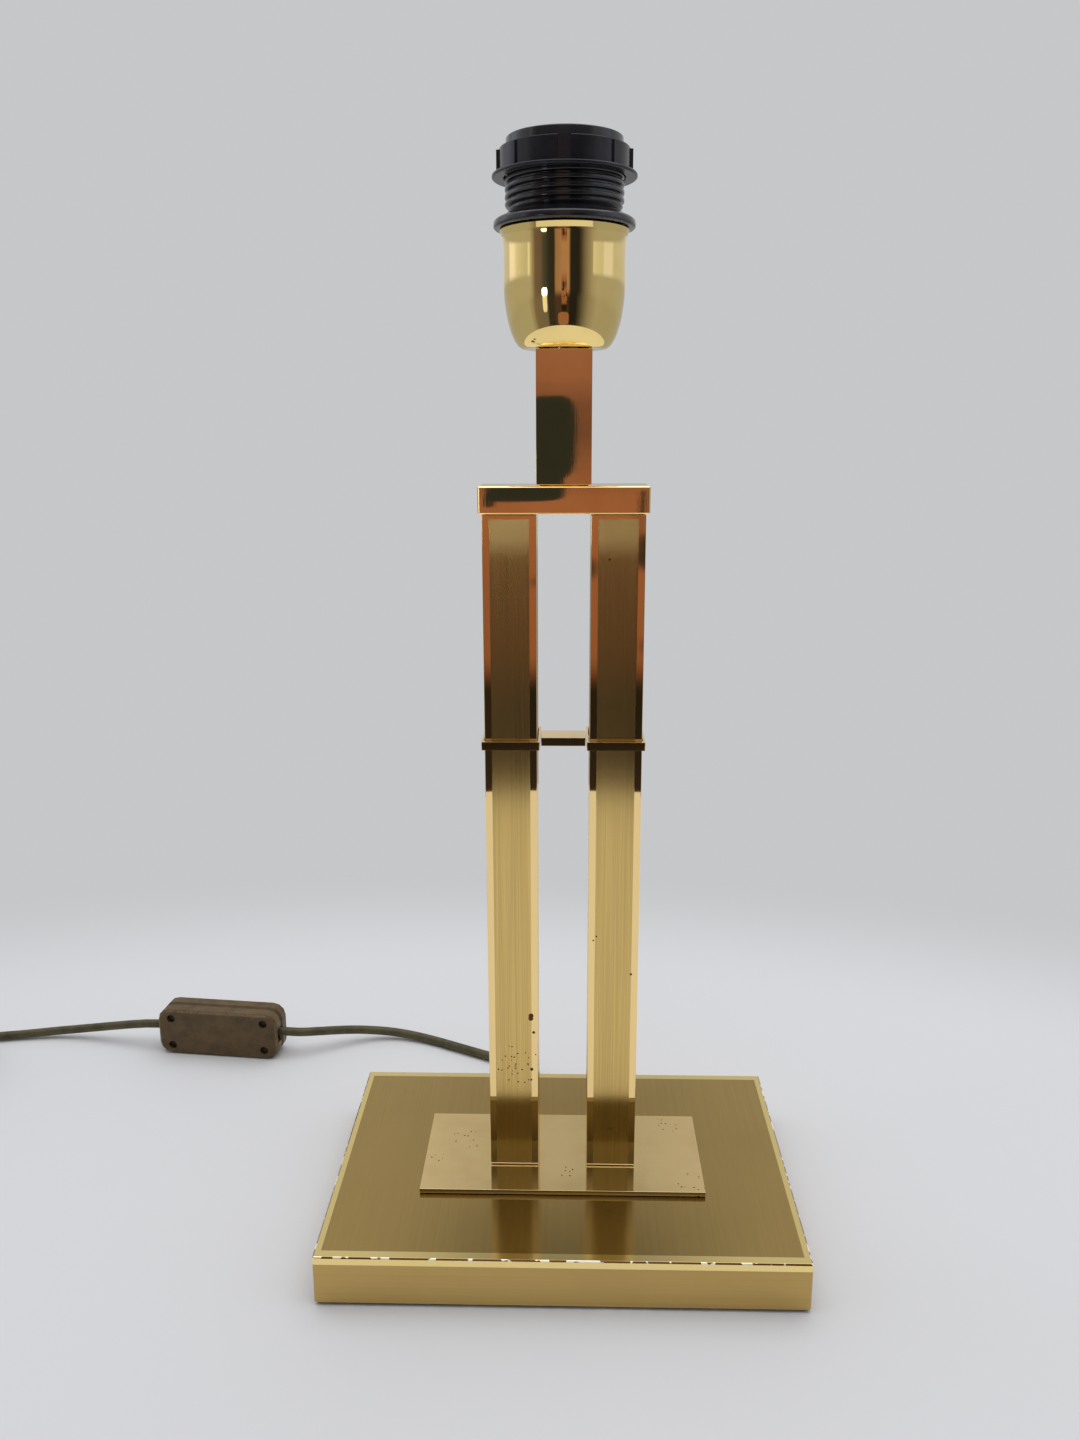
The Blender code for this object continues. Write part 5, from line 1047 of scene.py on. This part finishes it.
def make_lamp(name, place, target, size, power):
    """A square soft lamp, aimed at a target."""
    data = bpy.data.lights.new(name, "AREA")
    data.shape = "SQUARE"
    data.size = size
    data.energy = power
    lamp = add_object(name, data)
    lamp.location = place
    lamp.rotation_euler = (Vector(target) - Vector(place)).to_track_quat("-Z", "Y").to_euler()


make_camera()
make_cords()

black_plastic = plastic("black_plastic", BLACK, 0.22, lighter=1.8, bump=0.008 * MM, gloss=0.32)
thread_plastic = plastic("thread_plastic", BLACK, 0.13, bump=0.003 * MM, gloss=0.55)
brown_plastic = plastic("brown_plastic", PLASTIC_BROWN, 0.45)
make_cup(brass("cup_brass", CUP_BRASS, 0.03, cloud=0.06))
make_sleeve(thread_plastic)
make_shade_ring(black_plastic)
make_relief(brown_plastic)

dress(["base_shell"], brushed_base("brushed_base_brass"), bevel=0.35 * MM)
dress(["foot_plate"], brass("plate_brass", POLISHED_BRASS, 0.065, PLATE_CROWDS, cloud=0.07),
      bevel=0.25 * MM)
dress(["column_left"], brushed_column("left_column_brass", -19.0 * MM, LEFT_COLUMN_CROWDS,
                                      LEFT_COLUMN_STAINS), bevel=0.22 * MM)
dress(["column_right"], brushed_column("right_column_brass", 19.0 * MM, RIGHT_COLUMN_CROWDS,
                                       RIGHT_COLUMN_STAINS), bevel=0.22 * MM)
dress(["collar_left", "collar_right", "collar_bridge", "top_bar", "neck"],
      brass("polished_brass", POLISHED_BRASS, 0.02), bevel=0.2 * MM)
dress(["contact_shell", "centre_contact", "contact_foot", "holder_terminal_front",
       "holder_terminal_back", "switch_terminal_left", "switch_terminal_right"],
      metal("contact_brass", CONTACT_BRASS, 0.3))
dress(["holder_insulator"], plastic("insulator_plastic", INSULATOR_BLACK, 0.5))
dress(["base_weight"], metal("cast_iron", IRON, 0.7, grain=0.9 * MM))
dress([name for name in NODES if name.startswith("switch_screw")],
      metal("blackened_steel", BLACKENED_STEEL, 0.6))
dress([name for name in NODES
       if name.startswith(("cover_screw", "clamp_screw", "tie_rod", "pipe_nut"))
       or name in ("bottom_cover", "neck_pipe", "top_bar_plate")],
      metal("zinc_steel", ZINC, 0.32))
dress(["felt_pad"], felt("green_felt"))
dress(["cord_clamp"], brown_plastic, bevel=0.3 * MM)
dress(["plug_body", "plug_relief"], brown_plastic)
dress(["plug_pin_left", "plug_pin_right"], metal("pin_nickel", NICKEL, 0.2))
dress(["coil_tie"], black_plastic)
dress(["inner_lead_blue"], vinyl("blue_vinyl", LEAD_BLUE))
dress(["inner_lead_brown"], vinyl("brown_vinyl", LEAD_BROWN))
dress(["switch_case_near", "switch_case_far", "switch_rocker"], switch_plastic("switch_plastic"))

make_floor()
make_world()
make_lamp("overhead", place=(0.1, 0.05, 1.5), target=(0.0, 0.0, 0.1), size=1.7, power=9.7)
bpy.context.scene.view_settings.view_transform = "Standard"
